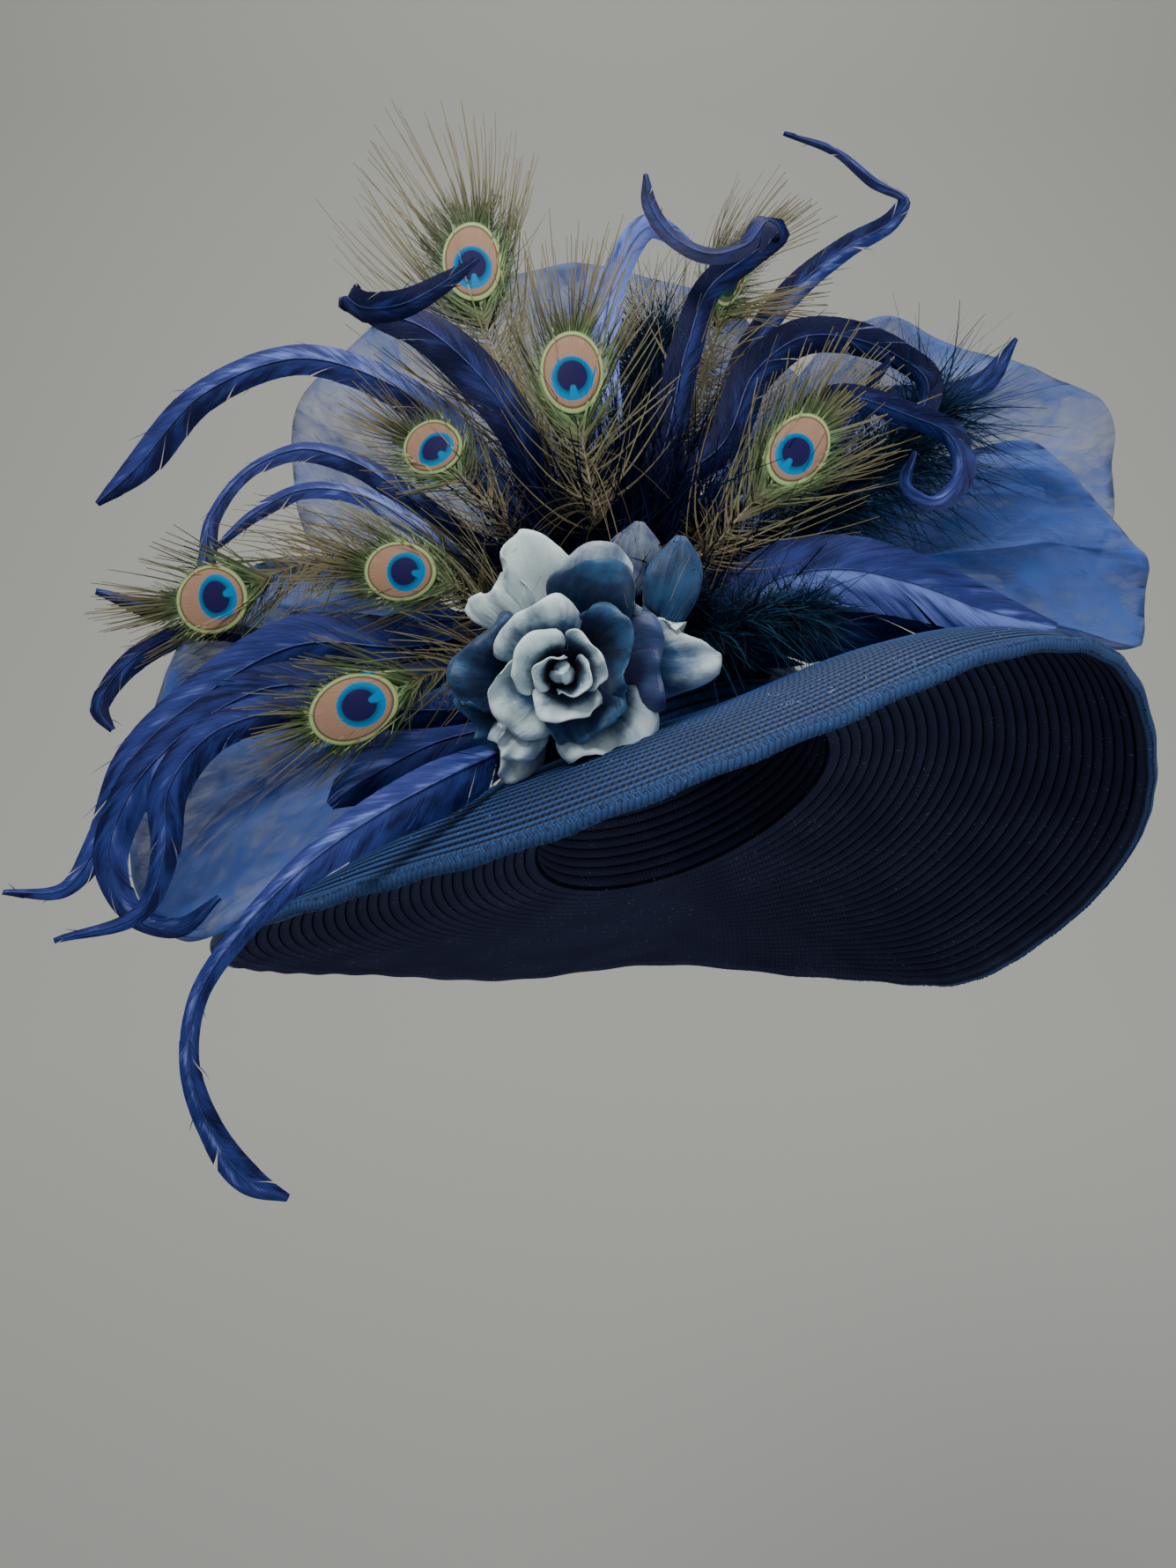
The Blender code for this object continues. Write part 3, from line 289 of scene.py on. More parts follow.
# A petal more, which lies against the outer one at the top. The columns are as above.
ROSE_PAIRED = {"rose_paired_petal_top": (64, 30, 13.0, 33, 0, 48, 14, 0.4, 0.72, 0.3, 0.9, 2.0)}

# The two leaf-shaped petals behind the rose: as the cock feathers, but with a shade and plum for the dye
ROSE_LEAVES = {
    "rose_leaf_up": ((0.15, -0.3), (0.42, 0.55), (
        (-34, -138, 86, 6, 0), (-30, -144, 98, 12, 0), (-28, -145, 108, 10, 0), (-27, -144, 116, 2, 0),
    )),
    "rose_leaf_right": ((0.3, -0.2), (0.15, 0.08), (
        (-18, -148, 74, 9, 0), (-14, -154, 86, 12, 0), (-11, -154, 98, 10, 0), (-10, -152, 108, 2, 0),
    )),
}

ROSE_AT = (-59.0, -176.0, 47.0)
ROSE_FACES = (0.0, -0.985, -0.17)
ROSE_BASE = 0.9
ROSE_CONE = 0.55  # how far the petals' feet fall back for each millimetre from the rose's middle
BLADE_CUP = 0.25  # how far a blade's edges lie behind its middle, as a share of its half width
BLADE_LEAST = 0.3  # the least half width
STEM_STAND = 0.8  # how far a stem's point stands off the pad
STEM_RISE = 8.0  # how far the stem rises straight off it
STEM_HALF = (0.5, 1.5)  # the blade's half widths at those two places
NET_RISE = 10.0  # how far off the pad a net bellies halfway to its rim
NET_FOLD_POWER = 1.2  # 1 is folds that deepen evenly towards the rim
PETAL_ROUND = 0.2  # how much shorter a petal is at its sides
PETAL_NARROW = 0.25  # how much narrower it is at its foot
PETAL_WIDEST = 0.75 * math.pi  # half a turn is a petal that is widest halfway out
PETAL_WRAP = (0.3, 1.5)  # how far one side lies outside the other at the foot, and what the rim adds
CALYX_SEAT = (-0.1, -0.55)
CALYX_STEM = ((0.0, 1.2), (0.6, 2.0), (1.0, 3.0))  # share of the way to the cup, radius
CALYX_NECK = 4.0  # how far below the cup its stem ends
CALYX_CUP = ((-13.0, 9.0), (-8.5, 15.0), (0.0, 0.8))  # high, radius
PAD_LOWEST = -6.0  # the pad's lowest row, a little way up the crown
CROWN_RINGS = 6
CROWN_OUTS = -CROWN_HIGH * np.arange(CROWN_RINGS, 0, -1) / (CROWN_RINGS + 1)
PAD_OUTS = (*CROWN_OUTS[1:], PAD_LOWEST)
FRONT = np.array([0.0, -1.0, 0.0])  # feathers turn their faces this way
TWIST_SHOWN = 0.7  # share of the solid model's twist that the soft vane takes
STEADY_SPAN = 14  # points on each side over which a blade's facing is averaged


def tint(name, description, default):
    return bpy.props.FloatVectorProperty(
        name=name, description=description, default=default, size=3, subtype="COLOR"
    )


def length(name, description, default):
    return bpy.props.FloatProperty(name=name, description=description, default=default, unit="LENGTH")


class StrawSettings(bpy.types.PropertyGroup):
    row_pitch: length("Row pitch", "Width of a sewn row of braid", 0.0055)
    row_height: length("Row height", "How far a row stands up", 0.0013)
    plait_length: length("Plait length", "Length of one crossing of the plait", 0.0026)
    tick_pitch: length("Edge tick pitch", "Distance between the edge row's cross strands", 0.0014)
    colour: tint("Straw", "Colour of the straw's top", (0.019, 0.058, 0.185))
    # painted shade: the underside is the same straw as the top, given a darker colour for the shade under
    # the brim
    under_shaded_colour: tint("Underside", "Colour of the straw below", (0.022, 0.025, 0.052))
    edge_colour: tint("Edge", "Colour of the edge row", (0.026, 0.058, 0.155))
    # near-black: the felt's own dark colour, also standing as painted shade under the trimming
    felt_colour: tint("Felt", "Colour of the base under the trimming", (0.006, 0.008, 0.025))


class FeatherSettings(bpy.types.PropertyGroup):
    barb_pitch: length("Barb pitch", "Distance between the barbs of a dyed feather", 0.0016)
    split_gap: length("Split", "Width of a split in a vane at its edge", 0.0018)
    loose_barbs: bpy.props.IntProperty(
        name="Loose barbs", description="Loose barbs along each feather", default=12, min=0
    )
    navy: tint("Navy", "Darkest dye", (0.004, 0.007, 0.05))
    royal: tint("Royal blue", "Middle dye", (0.026, 0.042, 0.21))
    periwinkle: tint("Periwinkle", "Lightest dye", (0.22, 0.30, 0.78))


class PeacockSettings(bpy.types.PropertyGroup):
    eye_pitch: length("Barb pitch at the eye", "Distance between barbs at the eye", 0.00032)
    stem_pitch: length("Barb pitch below", "Distance between barbs lower down", 0.0011)
    barb_width: length("Barb width", "Width of a barb at the stem", 0.00046)
    pupil: tint("Pupil", "Middle of the eye", (0.014, 0.010, 0.075))
    turquoise: tint("Turquoise", "Ring round the pupil", (0.0, 0.22, 0.50))
    bronze: tint("Bronze", "Oval round the blue", (0.36, 0.22, 0.145))
    rim: tint("Rim", "Pale line round the bronze", (0.38, 0.50, 0.20))
    green: tint("Green", "Barbs near the eye", (0.085, 0.125, 0.055))
    tan: tint("Tan", "Ends of the longest barbs", (0.21, 0.18, 0.10))
    olive: tint("Olive", "Barbs away from the eye", (0.105, 0.105, 0.055))


class PlumeSettings(bpy.types.PropertyGroup):
    strands: bpy.props.IntProperty(
        name="Strands", description="Strands in each plume", default=2400, min=10
    )
    dark: tint("Dark", "Dark strands", (0.002, 0.004, 0.016))
    teal: tint("Teal", "Light strands", (0.010, 0.05, 0.10))


class NetSettings(bpy.types.PropertyGroup):
    depth: length("Puff depth", "Room between the two layers of a puff", 0.012)
    crease: length("Crease", "Depth of the small creases", 0.0075)
    thread_pitch: length("Thread pitch", "Distance between threads", 0.0016)
    colour: tint("Net", "Colour of the thread", (0.034, 0.088, 0.32))


class RoseSettings(bpy.types.PropertyGroup):
    thickness: length("Silk thickness", "Thickness of a petal", 0.0006)
    silver: tint("Silver", "Pale silk", (0.74, 0.90, 0.89))
    teal: tint("Teal", "Middle silk", (0.022, 0.105, 0.24))
    deep: tint("Deep teal", "Dark silk", (0.003, 0.018, 0.065))
    plum: tint("Plum", "Purple tinge", (0.05, 0.035, 0.14))


class StageSettings(bpy.types.PropertyGroup):
    floor_drop: length("Floor", "How far the floor is below the hat's middle", 0.45)
    wall: tint("Wall and floor", "Colour of the studio", (0.43, 0.43, 0.39))
    key_power: bpy.props.FloatProperty(
        name="Key light", description="Power of the main light", default=40.0, unit="POWER"
    )
    sky: tint("Room light", "Colour of the light from all round", (0.9, 0.93, 1.0))
    sky_strength: bpy.props.FloatProperty(
        name="Room light's strength", description="Strength of the light from all round", default=0.33,
        min=0.0,
    )


# Shape of the hat, in millimetres


def unit(vectors):
    vectors = np.asarray(vectors, float)
    return vectors / np.linalg.norm(vectors, axis=-1, keepdims=True)


def through(rows, count):
    """Rows read evenly from a smooth curve through the given ones, by the length of their x, y and z."""
    rows = np.array(rows, float)
    gaps = np.linalg.norm(np.diff(rows[:, :3], axis=0), axis=1)
    at = np.concatenate([[0.0], np.cumsum(gaps)])
    slope = np.gradient(rows, at, axis=0)
    where = np.linspace(0.0, at[-1], count)
    k = np.clip(np.searchsorted(at, where, side="right") - 1, 0, len(at) - 2)
    step = (at[k + 1] - at[k])[:, None]
    t = (where - at[k])[:, None] / step
    start = (1 + 2 * t) * (1 - t) ** 2 * rows[k] + t * (1 - t) ** 2 * step * slope[k]
    end = t**2 * (3 - 2 * t) * rows[k + 1] + t**2 * (t - 1) * step * slope[k + 1]
    return start + end


def tilted(points):
    """Points of the level hat, turned as the hat is worn."""
    side = math.radians(TILT_SIDE)
    back = math.radians(TILT_BACK)
    raise_side = np.array(
        [[math.cos(side), 0, -math.sin(side)], [0, 1, 0], [math.sin(side), 0, math.cos(side)]]
    )
    raise_front = np.array(
        [[1, 0, 0], [0, math.cos(back), math.sin(back)], [0, -math.sin(back), math.cos(back)]]
    )
    return np.asarray(points) @ (raise_front @ raise_side).T


def brim_fall(azimuth):
    """The brim's two falls at any azimuth, from a smooth closed curve through the table, in radians."""
    rows = np.array(BRIM_FALL)[:, 1:]
    place = (np.asarray(azimuth) / 360.0 * len(rows)) % len(rows)
    k = np.floor(place).astype(int)
    t = (place - k)[..., None]
    a, b, c, d = (rows[(k + n) % len(rows)] for n in (-1, 0, 1, 2))
    curve = (2 * a - 5 * b + 4 * c - d) * t**2 + (3 * b - a - 3 * c + d) * t**3
    fall = b + (c - a) * t / 2 + curve / 2
    return np.radians(fall[..., 0]), np.radians(fall[..., 1])


def hat_point(azimuth, out):
    """A point of the outer surface. out is the way along the brim or, where it is below 0, up the crown."""
    azimuth, out = np.broadcast_arrays(np.asarray(azimuth, float), np.asarray(out, float))
    turn = np.radians(azimuth)
    level = np.stack([np.cos(turn) * HEAD_WIDE / 2, np.sin(turn) * HEAD_LONG / 2, 0 * turn], -1)
    away = unit(np.stack([np.cos(turn) / HEAD_WIDE, np.sin(turn) / HEAD_LONG, 0 * turn], -1))
    first, last = brim_fall(azimuth)
    bend = np.where(np.abs(last - first) < STRAIGHT, STRAIGHT, last - first)
    run = np.clip(out, 0, None) / BRIM_WIDE
    reach = BRIM_WIDE / bend * (np.sin(first + bend * run) - np.sin(first))
    drop = BRIM_WIDE / bend * (np.cos(first + bend * run) - np.cos(first))
    rise = np.clip(-out / CROWN_HIGH, 0, 1)[..., None] * math.pi / 2
    inward = np.cos(rise) ** (2 / CROWN_FULLNESS)
    high = CROWN_HIGH * np.sin(rise) ** (2 / CROWN_FULLNESS)
    points = level * inward + away * reach[..., None]
    points[..., 2] += drop + high[..., 0]
    return tilted(points)


def hat_normal(azimuth, out):
    """The outward direction of the surface, on the brim where out is 0 or more and on the crown below 0."""
    azimuth = np.asarray(azimuth, float)
    out = np.asarray(out, float)
    near = np.where(out < 0, out - PROBE, out)
    along = hat_point(azimuth, near + PROBE) - hat_point(azimuth, near)
    across = hat_point(azimuth + PROBE, near) - hat_point(azimuth - PROBE, near)
    return unit(np.cross(along, across))


def pad_place(across, up):
    """The azimuth and the way up the crown of a place on the pad: across and up run from -1 to 1."""
    rows = np.array(PAD_OUTS)[::-1]
    azimuth = PAD_FROM + (PAD_TO - PAD_FROM) * (np.asarray(across, float) + 1) / 2
    out = np.interp((np.asarray(up, float) + 1) / 2 * (len(rows) - 1), np.arange(len(rows)), rows)
    return azimuth, out


def pad_point(across, up, face=1.0):
    """A point of the pad's outer face, or with face 0 of the face that lies on the crown."""
    azimuth, out = pad_place(across, up)
    lean = math.radians(PAD_LEAN)
    swell = np.cos(np.asarray(across) * math.pi / 2) * np.cos(np.asarray(up) * math.pi / 2)
    direction = tilted([0, -math.cos(lean), math.sin(lean)])
    thick = PAD_RIM + PAD_BULGE * np.clip(swell, 0, 1) ** PAD_SHARPNESS
    base = hat_point(azimuth, out) + hat_normal(azimuth, out) * PAD_STAND
    return base + face * (direction * thick[..., None] + hat_normal(azimuth, out) * PAD_RIM)


def seat(across, up, stand=STEM_STAND):
    """Where the point of a stem rests on the pad, just clear of its facet, and the facet's direction."""
    columns = np.linspace(-1, 1, PAD_COLUMNS + 1)
    rows = np.linspace(-1, 1, len(PAD_OUTS))
    i = np.searchsorted(columns, across) - 1
    j = np.searchsorted(rows, up) - 1
    s = (across - columns[i]) / (columns[i + 1] - columns[i])
    t = (up - rows[j]) / (rows[j + 1] - rows[j])
    corner = pad_point(columns[i], rows[j])
    far_corner = pad_point(columns[i + 1], rows[j + 1])
    if t >= s:
        above = pad_point(columns[i], rows[j + 1])
        here = corner + (above - corner) * t + (far_corner - above) * s
        away = unit(np.cross(far_corner - above, above - corner))
    else:
        beside = pad_point(columns[i + 1], rows[j])
        here = corner + (beside - corner) * s + (far_corner - beside) * t
        away = unit(np.cross(beside - corner, far_corner - beside))
    return here + away * stand, away


def rooted(seat_at, rows):
    """A stem's rows with two more before them: its end on the pad, and the place where it has risen off it.

    rows: x, y, z and any further columns, which the new rows take from the first row.
    """
    start, away = seat(*seat_at)
    return [(*start, *rows[0][3:]), (*(start + away * STEM_RISE), *rows[0][3:]), *rows]


def steady(vectors, span=STEADY_SPAN):
    """Vectors along a line, each averaged with its neighbours."""
    padded = np.pad(vectors, ((span, span), (0, 0)), mode="edge")
    return sum(padded[k : k + len(vectors)] for k in range(2 * span + 1)) / (2 * span + 1)


def directions(rows):
    """Along a blade, out of its face and across it. rows: x, y, z, half_width, twist.

    The blade faces the front, turned about its own length by its twist.
    """
    along = unit(np.gradient(rows[:, :3], axis=0))
    face = steady(FRONT - along * (along @ FRONT)[:, None])
    face = unit(face - along * (face * along).sum(axis=1)[:, None])
    turn = np.radians(rows[:, 4])[:, None]
    front = face * np.cos(turn) + np.cross(along, face) * np.sin(turn)
    return along, front, np.cross(along, front)


def rose_point(radius, turn, high):
    """A place in the rose. Seen from its front, turn runs from the right, against the clock."""
    forward = unit(np.array(ROSE_FACES))
    right = unit(np.cross([0, 0, 1], forward))
    above = np.cross(forward, right)
    turn = np.radians(turn)[..., None]
    flat = right * np.cos(turn) + above * np.sin(turn)
    return np.array(ROSE_AT) + flat * radius[..., None] + forward * high[..., None]


# Meshes


def placed(name, data):
    """A new object in the scene."""
    thing = bpy.data.objects.new(name, data)
    bpy.context.scene.collection.objects.link(thing)
    return thing


def put(mesh, name, values, kind="FLOAT_VECTOR", key="vector"):
    """Stores a value at every point of a mesh."""
    layer = mesh.attributes.new(name, kind, "POINT")
    layer.data.foreach_set(key, np.asarray(values, np.float32).ravel())


def new_piece(name, points, faces, materials, marks=None, face_materials=None, smooth=True):
    """A mesh object with its points given in millimetres. marks: point attributes of three numbers."""
    mesh = bpy.data.meshes.new(name)
    mesh.from_pydata((np.asarray(points) * MM).tolist(), [], [tuple(face) for face in faces])
    for material in materials:
        mesh.materials.append(material)
    for mark, values in (marks or {}).items():
        put(mesh, mark, values)
    if face_materials is not None:
        mesh.polygons.foreach_set("material_index", np.asarray(face_materials, np.int32))
    mesh.polygons.foreach_set("use_smooth", np.full(len(mesh.polygons), smooth))
    mesh.update()
    return placed(name, mesh)


def belongs(piece, slot, *nodes):
    """Ties a finished piece to the frame, in the place of the given nodes."""
    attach(piece, "root")
    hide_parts(*nodes)


def grid_faces(rows, columns, wrap=False):
    """Faces over a grid of points, closed across its columns where wrap is true."""
    across = columns if wrap else columns - 1
    i, j = np.meshgrid(np.arange(rows - 1), np.arange(across), indexing="ij")
    a = i * columns + j
    b = i * columns + (j + 1) % columns
    return np.stack([a, b, b + columns, a + columns], -1).reshape(-1, 4)


def outward(piece):
    """Turns the faces of a closed mesh outwards."""
    shape = bmesh.new()
    shape.from_mesh(piece.data)
    bmesh.ops.recalc_face_normals(shape, faces=shape.faces)
    shape.to_mesh(piece.data)
    shape.free()


def joined(name, pieces):
    """The pieces made one object."""
    first = pieces[0]
    with bpy.context.temp_override(
        object=first, active_object=first, selected_objects=pieces, selected_editable_objects=pieces
    ):
        bpy.ops.object.join()
    first.name = name
    return first


class Build:
    """Points, faces and marks of several parts, gathered into one mesh."""

    def __init__(self):
        self.points = []
        self.faces = []
        self.marks = []
        self.slots = []
        self.count = 0

    def add(self, points, faces, marks, slot):
        points = np.asarray(points).reshape(-1, 3)
        self.points.append(points)
        self.marks.append(np.asarray(marks).reshape(-1, 3))
        self.faces.extend([int(corner) + self.count for corner in face] for face in faces)
        self.slots.extend([slot] * len(faces))
        self.count += len(points)

    def finish(self, name, materials, mark):
        return new_piece(
            name, np.vstack(self.points), self.faces, materials, {mark: np.vstack(self.marks)}, self.slots
        )


TUBE_SIDE = (0.3, 0.2, 1.0)  # a direction that no stem runs in


def tube(middle, radius, sides=6):
    """Points and faces of a round tube along a line, closed at both ends."""
    middle = np.asarray(middle, float)
    along = unit(np.gradient(middle, axis=0))
    first = unit(np.cross(along, TUBE_SIDE))
    second = np.cross(along, first)
    turn = np.arange(sides) * 2 * math.pi / sides
    radius = np.broadcast_to(np.asarray(radius, float), len(middle))[:, None, None]
    ring = first[:, None] * np.cos(turn)[None, :, None] + second[:, None] * np.sin(turn)[None, :, None]
    points = middle[:, None] + ring * radius
    ends = np.stack([middle[0], middle[-1]])
    faces = grid_faces(len(middle), sides, wrap=True).tolist()
    last = (len(middle) - 1) * sides
    root = len(middle) * sides
    for k in range(sides):
        n = (k + 1) % sides
        faces.append((root, n, k))
        faces.append((root + 1, last + k, last + n))
    return np.vstack([points.reshape(-1, 3), ends]), faces


# Materials


class Nodes:
    """Short calls for a tree of nodes."""

    def made(self, kind, values=(), **settings):
        """A node with its settings, and its first inputs plugged in their order."""
        node = self.tree.nodes.new(kind)
        for key, value in settings.items():
            setattr(node, key, value)
        for socket, value in zip(node.inputs, values):
            self.plug(socket, value)
        return node

    def plug(self, socket, value):
        if isinstance(value, bpy.types.NodeSocket):
            self.tree.links.new(value, socket)
        elif value is not None:
            socket.default_value = value

    def math(self, operation, *values, clamp=False):
        return self.made("ShaderNodeMath", values, operation=operation, use_clamp=clamp).outputs[0]

    def times(self, a, b):
        return self.math("MULTIPLY", a, b)

    def plus(self, a, b, clamp=False):
        return self.math("ADD", a, b, clamp=clamp)

    def apart(self, vector):
        return list(self.made("ShaderNodeSeparateXYZ", (vector,)).outputs)

    def vector(self, x, y, z=0.0):
        return self.made("ShaderNodeCombineXYZ", (x, y, z)).outputs[0]


class Finish(Nodes):
    """A material and short calls for its nodes."""

    def __init__(self, name, **values):
        self.material = bpy.data.materials.new(name)
        self.material.use_nodes = True
        self.tree = self.material.node_tree
        self.shader = self.tree.nodes["Principled BSDF"]
        for socket, value in values.items():
            self.shader.inputs[socket.replace("_", " ")].default_value = value

    def mark(self, name):
        """The x, y and z of a point attribute."""
        return self.apart(self.made("ShaderNodeAttribute", attribute_name=name).outputs["Vector"])

    def noise(self, vector, scale, detail=2.0, roughness=0.5):
        made = self.made("ShaderNodeTexNoise", (vector,))
        for socket, value in (("Scale", scale), ("Detail", detail), ("Roughness", roughness)):
            made.inputs[socket].default_value = value
        return made.outputs["Fac"]

    def place(self):
        return self.made("ShaderNodeTexCoord").outputs["Object"]

    def range(self, value, low, high, to_low=0.0, to_high=1.0, smooth=True):
        values = (value, low, high, to_low, to_high)
        kind = "SMOOTHSTEP" if smooth else "LINEAR"
        return self.made("ShaderNodeMapRange", values, interpolation_type=kind).outputs[0]

    def mix(self, factor, a, b, blend="MIX"):
        made = self.made("ShaderNodeMix", (factor,), data_type="RGBA", blend_type=blend)
        self.plug(made.inputs[6], rgba(a))
        self.plug(made.inputs[7], rgba(b))
        return made.outputs[2]

    def lit(self, colour, factor):
        """A colour made lighter or darker by a factor."""
        return self.mix(1.0, colour, self.vector(factor, factor, factor), "MULTIPLY")

    def bump(self, height, distance):
        made = self.made("ShaderNodeBump")
        made.inputs["Strength"].default_value = 1.0
        made.inputs["Distance"].default_value = distance
        self.plug(made.inputs["Height"], height)
        self.plug(self.shader.inputs["Normal"], made.outputs[0])

    def colour(self, value):
        self.plug(self.shader.inputs["Base Color"], rgba(value))


def shaded(colour, factor):
    """A plain colour made lighter or darker, no part of it over 1."""
    return tuple(min(1.0, part * factor) for part in colour)


def rgba(value):
    if isinstance(value, bpy.types.NodeSocket):
        return value
    return (*tuple(value)[:3], 1.0)


# How the plait looks: the slant and roundness of its strands, the size of their fibres along and across a
# row, the seams darkened as painted shade, and how light its darkest and brightest parts are, as shares of
# the colour. The pale glints are painted highlights.
PLAIT_SLANT = 0.55
PLAIT_ROUND = 0.45
FIBRE_SIZE = (1.6, 9.0)
FIBRE_LIGHT = (0.72, 1.12)
FIBRE_DEPTH = 0.35
PATCH_LIGHT = (0.86, 1.1)
SEAM_PAINTED_SHADE = 0.1
STRAW_DARK = 0.10
STRAW_BRIGHT = 1.35
GLINT_FROM = (0.70, 0.74)
GLINT_PALE = 0.10
# the edge strands' own random tone runs between these shares of the edge colour; its light end is raised as
# painted light on the edge's down-facing outer side
TICK_DARK = 0.5
TICK_PAINTED_LIGHT = 1.5
FELT_DARK = 0.4


def straw_finish(name, colour, depth, gloss=0.22, groove=(0.62, 0.84), rough=(0.4, 0.62)):
    """Plaited straw. The UV map gives the plait's crossings along a row and the way across it.

    groove: the shares of the way across a row between which it grows dark, as painted shade in the groove.
    """
    straw = Finish(name, Roughness=0.5, Specular_IOR_Level=gloss)
    along, across, _ = straw.apart(straw.made("ShaderNodeUVMap", uv_map="straw").outputs[0])
    side = straw.math("ABSOLUTE", straw.math("SUBTRACT", straw.times(across, 2.0), 1.0))
    slant = straw.plus(along, straw.times(side, PLAIT_SLANT))
    strand = straw.math("ABSOLUTE", straw.math("SINE", straw.times(slant, math.pi)))
    rounded = straw.math("POWER", strand, PLAIT_ROUND)
    size_along, size_across = FIBRE_SIZE
    fibre = straw.noise(straw.vector(straw.times(slant, size_along), straw.times(across, size_across)), 3.0)
    patch = straw.noise(straw.place(), 26.0, 3.0)
    # painted shade: the seams and grooves between rows are darkened in the colour
    seam_shade = straw.range(across, -0.02, 0.1, SEAM_PAINTED_SHADE, 1.0)
    seam_shade = straw.times(straw.range(across, *groove, 1.0, 0.0), seam_shade)
    # painted shade: each strand is darker at its rounded edges; the fibre and patch tones below are the
    # straw's own
    light = straw.times(straw.range(rounded, 0.0, 1.0, 0.8, 1.0), seam_shade)
    light = straw.times(light, straw.range(fibre, 0.25, 0.75, *FIBRE_LIGHT))
    light = straw.times(light, straw.range(patch, 0.3, 0.7, *PATCH_LIGHT))
    shade = straw.mix(light, shaded(colour, STRAW_DARK), shaded(colour, STRAW_BRIGHT))
    glint = straw.range(straw.noise(straw.place(), 700.0, 1.0), *GLINT_FROM)
    glint = straw.times(glint, straw.range(patch, 0.45, 0.6))
    pale = tuple(min(1.0, GLINT_PALE + part * 2) for part in colour)
    straw.colour(straw.mix(glint, shade, pale))
    straw.plug(straw.shader.inputs["Roughness"], straw.range(fibre, 0.2, 0.8, *rough))
    straw.bump(straw.plus(rounded, straw.times(fibre, FIBRE_DEPTH)), depth)
    return straw.material


def straw_strand_finish(name, colour):
    """Single straws laid across the edge row."""
    straw = Finish(name, Roughness=0.5, Specular_IOR_Level=0.12)
    _, along, chance = straw.mark("strand")
    level = straw.range(straw.noise(straw.vector(straw.times(chance, 40.0), along), 4.0), 0.3, 0.7)
    straw.colour(straw.mix(level, shaded(colour, TICK_DARK), shaded(colour, TICK_PAINTED_LIGHT)))
    return straw.material


def felt_finish(colour):
    felt = Finish("trim_felt", Roughness=0.95, Specular_IOR_Level=0.1)
    fuzz = felt.noise(felt.place(), 900.0, 4.0, 0.7)
    felt.colour(felt.mix(fuzz, shaded(colour, FELT_DARK), colour))
    felt.bump(fuzz, 0.0006)
    return felt.material


# How much the shade of the dye changes along single barbs and in broad patches, and at the stem and the
# edge. The broad patches are partly the dye's own and partly painted highlights and dark zones.
DYE_STREAKS = (0.16, 0.3)
DYE_EDGE = (0.08, -0.12)


def dyed_vane(settings):
    """A dyed feather's vane. The mark vane holds the way across, the barb's root and the shade."""
    vane = Finish("dyed_vane", Roughness=0.45, Specular_IOR_Level=0.12)
    across, root, shade = vane.mark("vane")
    barbs = vane.noise(vane.vector(vane.times(across, 0.6), root), 1.1, 3.0, 0.65)
    patches_and_highlights = vane.noise(vane.vector(across, vane.times(root, 0.06)), 1.3, 2.0)
    level = shade
    for streaks, change in zip((barbs, patches_and_highlights), DYE_STREAKS):
        level = vane.plus(level, vane.range(streaks, 0.25, 0.75, -change, change, smooth=False))
    edge = vane.range(vane.math("ABSOLUTE", across), 0.0, 1.0, *DYE_EDGE)
    level = vane.plus(level, edge, clamp=True)
    low = vane.mix(vane.range(level, 0.0, 0.5), settings.navy, settings.royal)
    vane.colour(vane.mix(vane.range(level, 0.5, 1.0), low, settings.periwinkle))
    vane.bump(barbs, 0.0005)
    return vane.material


# Dark and light colours of the stems
PEACOCK_STEM = ((0.10, 0.085, 0.05), (0.30, 0.27, 0.19))
DYED_STEM = ((0.018, 0.030, 0.13), (0.04, 0.06, 0.25))


def stem_finish(name, dark, light):
    stem = Finish(name, Roughness=0.4)
    ridges = stem.noise(stem.place(), 420.0, 2.0)
    stem.colour(stem.mix(stem.range(ridges, 0.35, 0.65), dark, light))
    stem.bump(ridges, 0.0002)
    return stem.material


# The eye's inner ovals: half width, half length and how far above the eye's middle, in its own half sizes
BLUE_OVAL = (0.66, 0.52, -0.2)
PUPIL_OVAL = (0.47, 0.37, -0.16)
# Between which sizes of its oval each colour gives way to the next one outwards
PUPIL_END = (0.95, 1.03)
BLUE_EDGE_END = (1.02, 1.35)
BLUE_END = (0.97, 1.03)
BRONZE_END = (0.82, 0.87)
BROWN_END = (0.88, 0.91)
RIM_END = (0.955, 0.99)
PALE_GREEN_END = (1.0, 1.15)
GREEN_END = (1.15, 1.6)
TAN_FROM = (1.6, 2.8)
DARK_FROM = (3.6, 7.0)
FAR_SHARE = 0.85  # how fully the tan and the dark of the far barbs take over
# The pupil's notch: its half width, its depth, how steep it is, and how far below the middle it starts
PUPIL_NOTCH = (0.16, 0.14, 6.0, (-0.42, -0.3))
# How light some parts are, as shares of a colour
PALE_GREEN = 1.9
FAR_OLIVE = 0.22
BLUE_EDGE = 0.55
BROWN = 0.4
BARB_LIGHT = (0.25, 1.9)
FINE_LIGHT = (0.78, 1.18)
GREEN_EYE_FROM = (3.0, 4.0)  # the mark above which an eye is green
GREEN_EYE_MIDDLE = (0.01, 0.05, 0.035)
GREEN_EYE_EDGE = (0.01, 0.04, 0.04)
FINE_BARBS = (1.6, 40.0)  # how far below the eye the disc's fine barbs meet, and how many there are


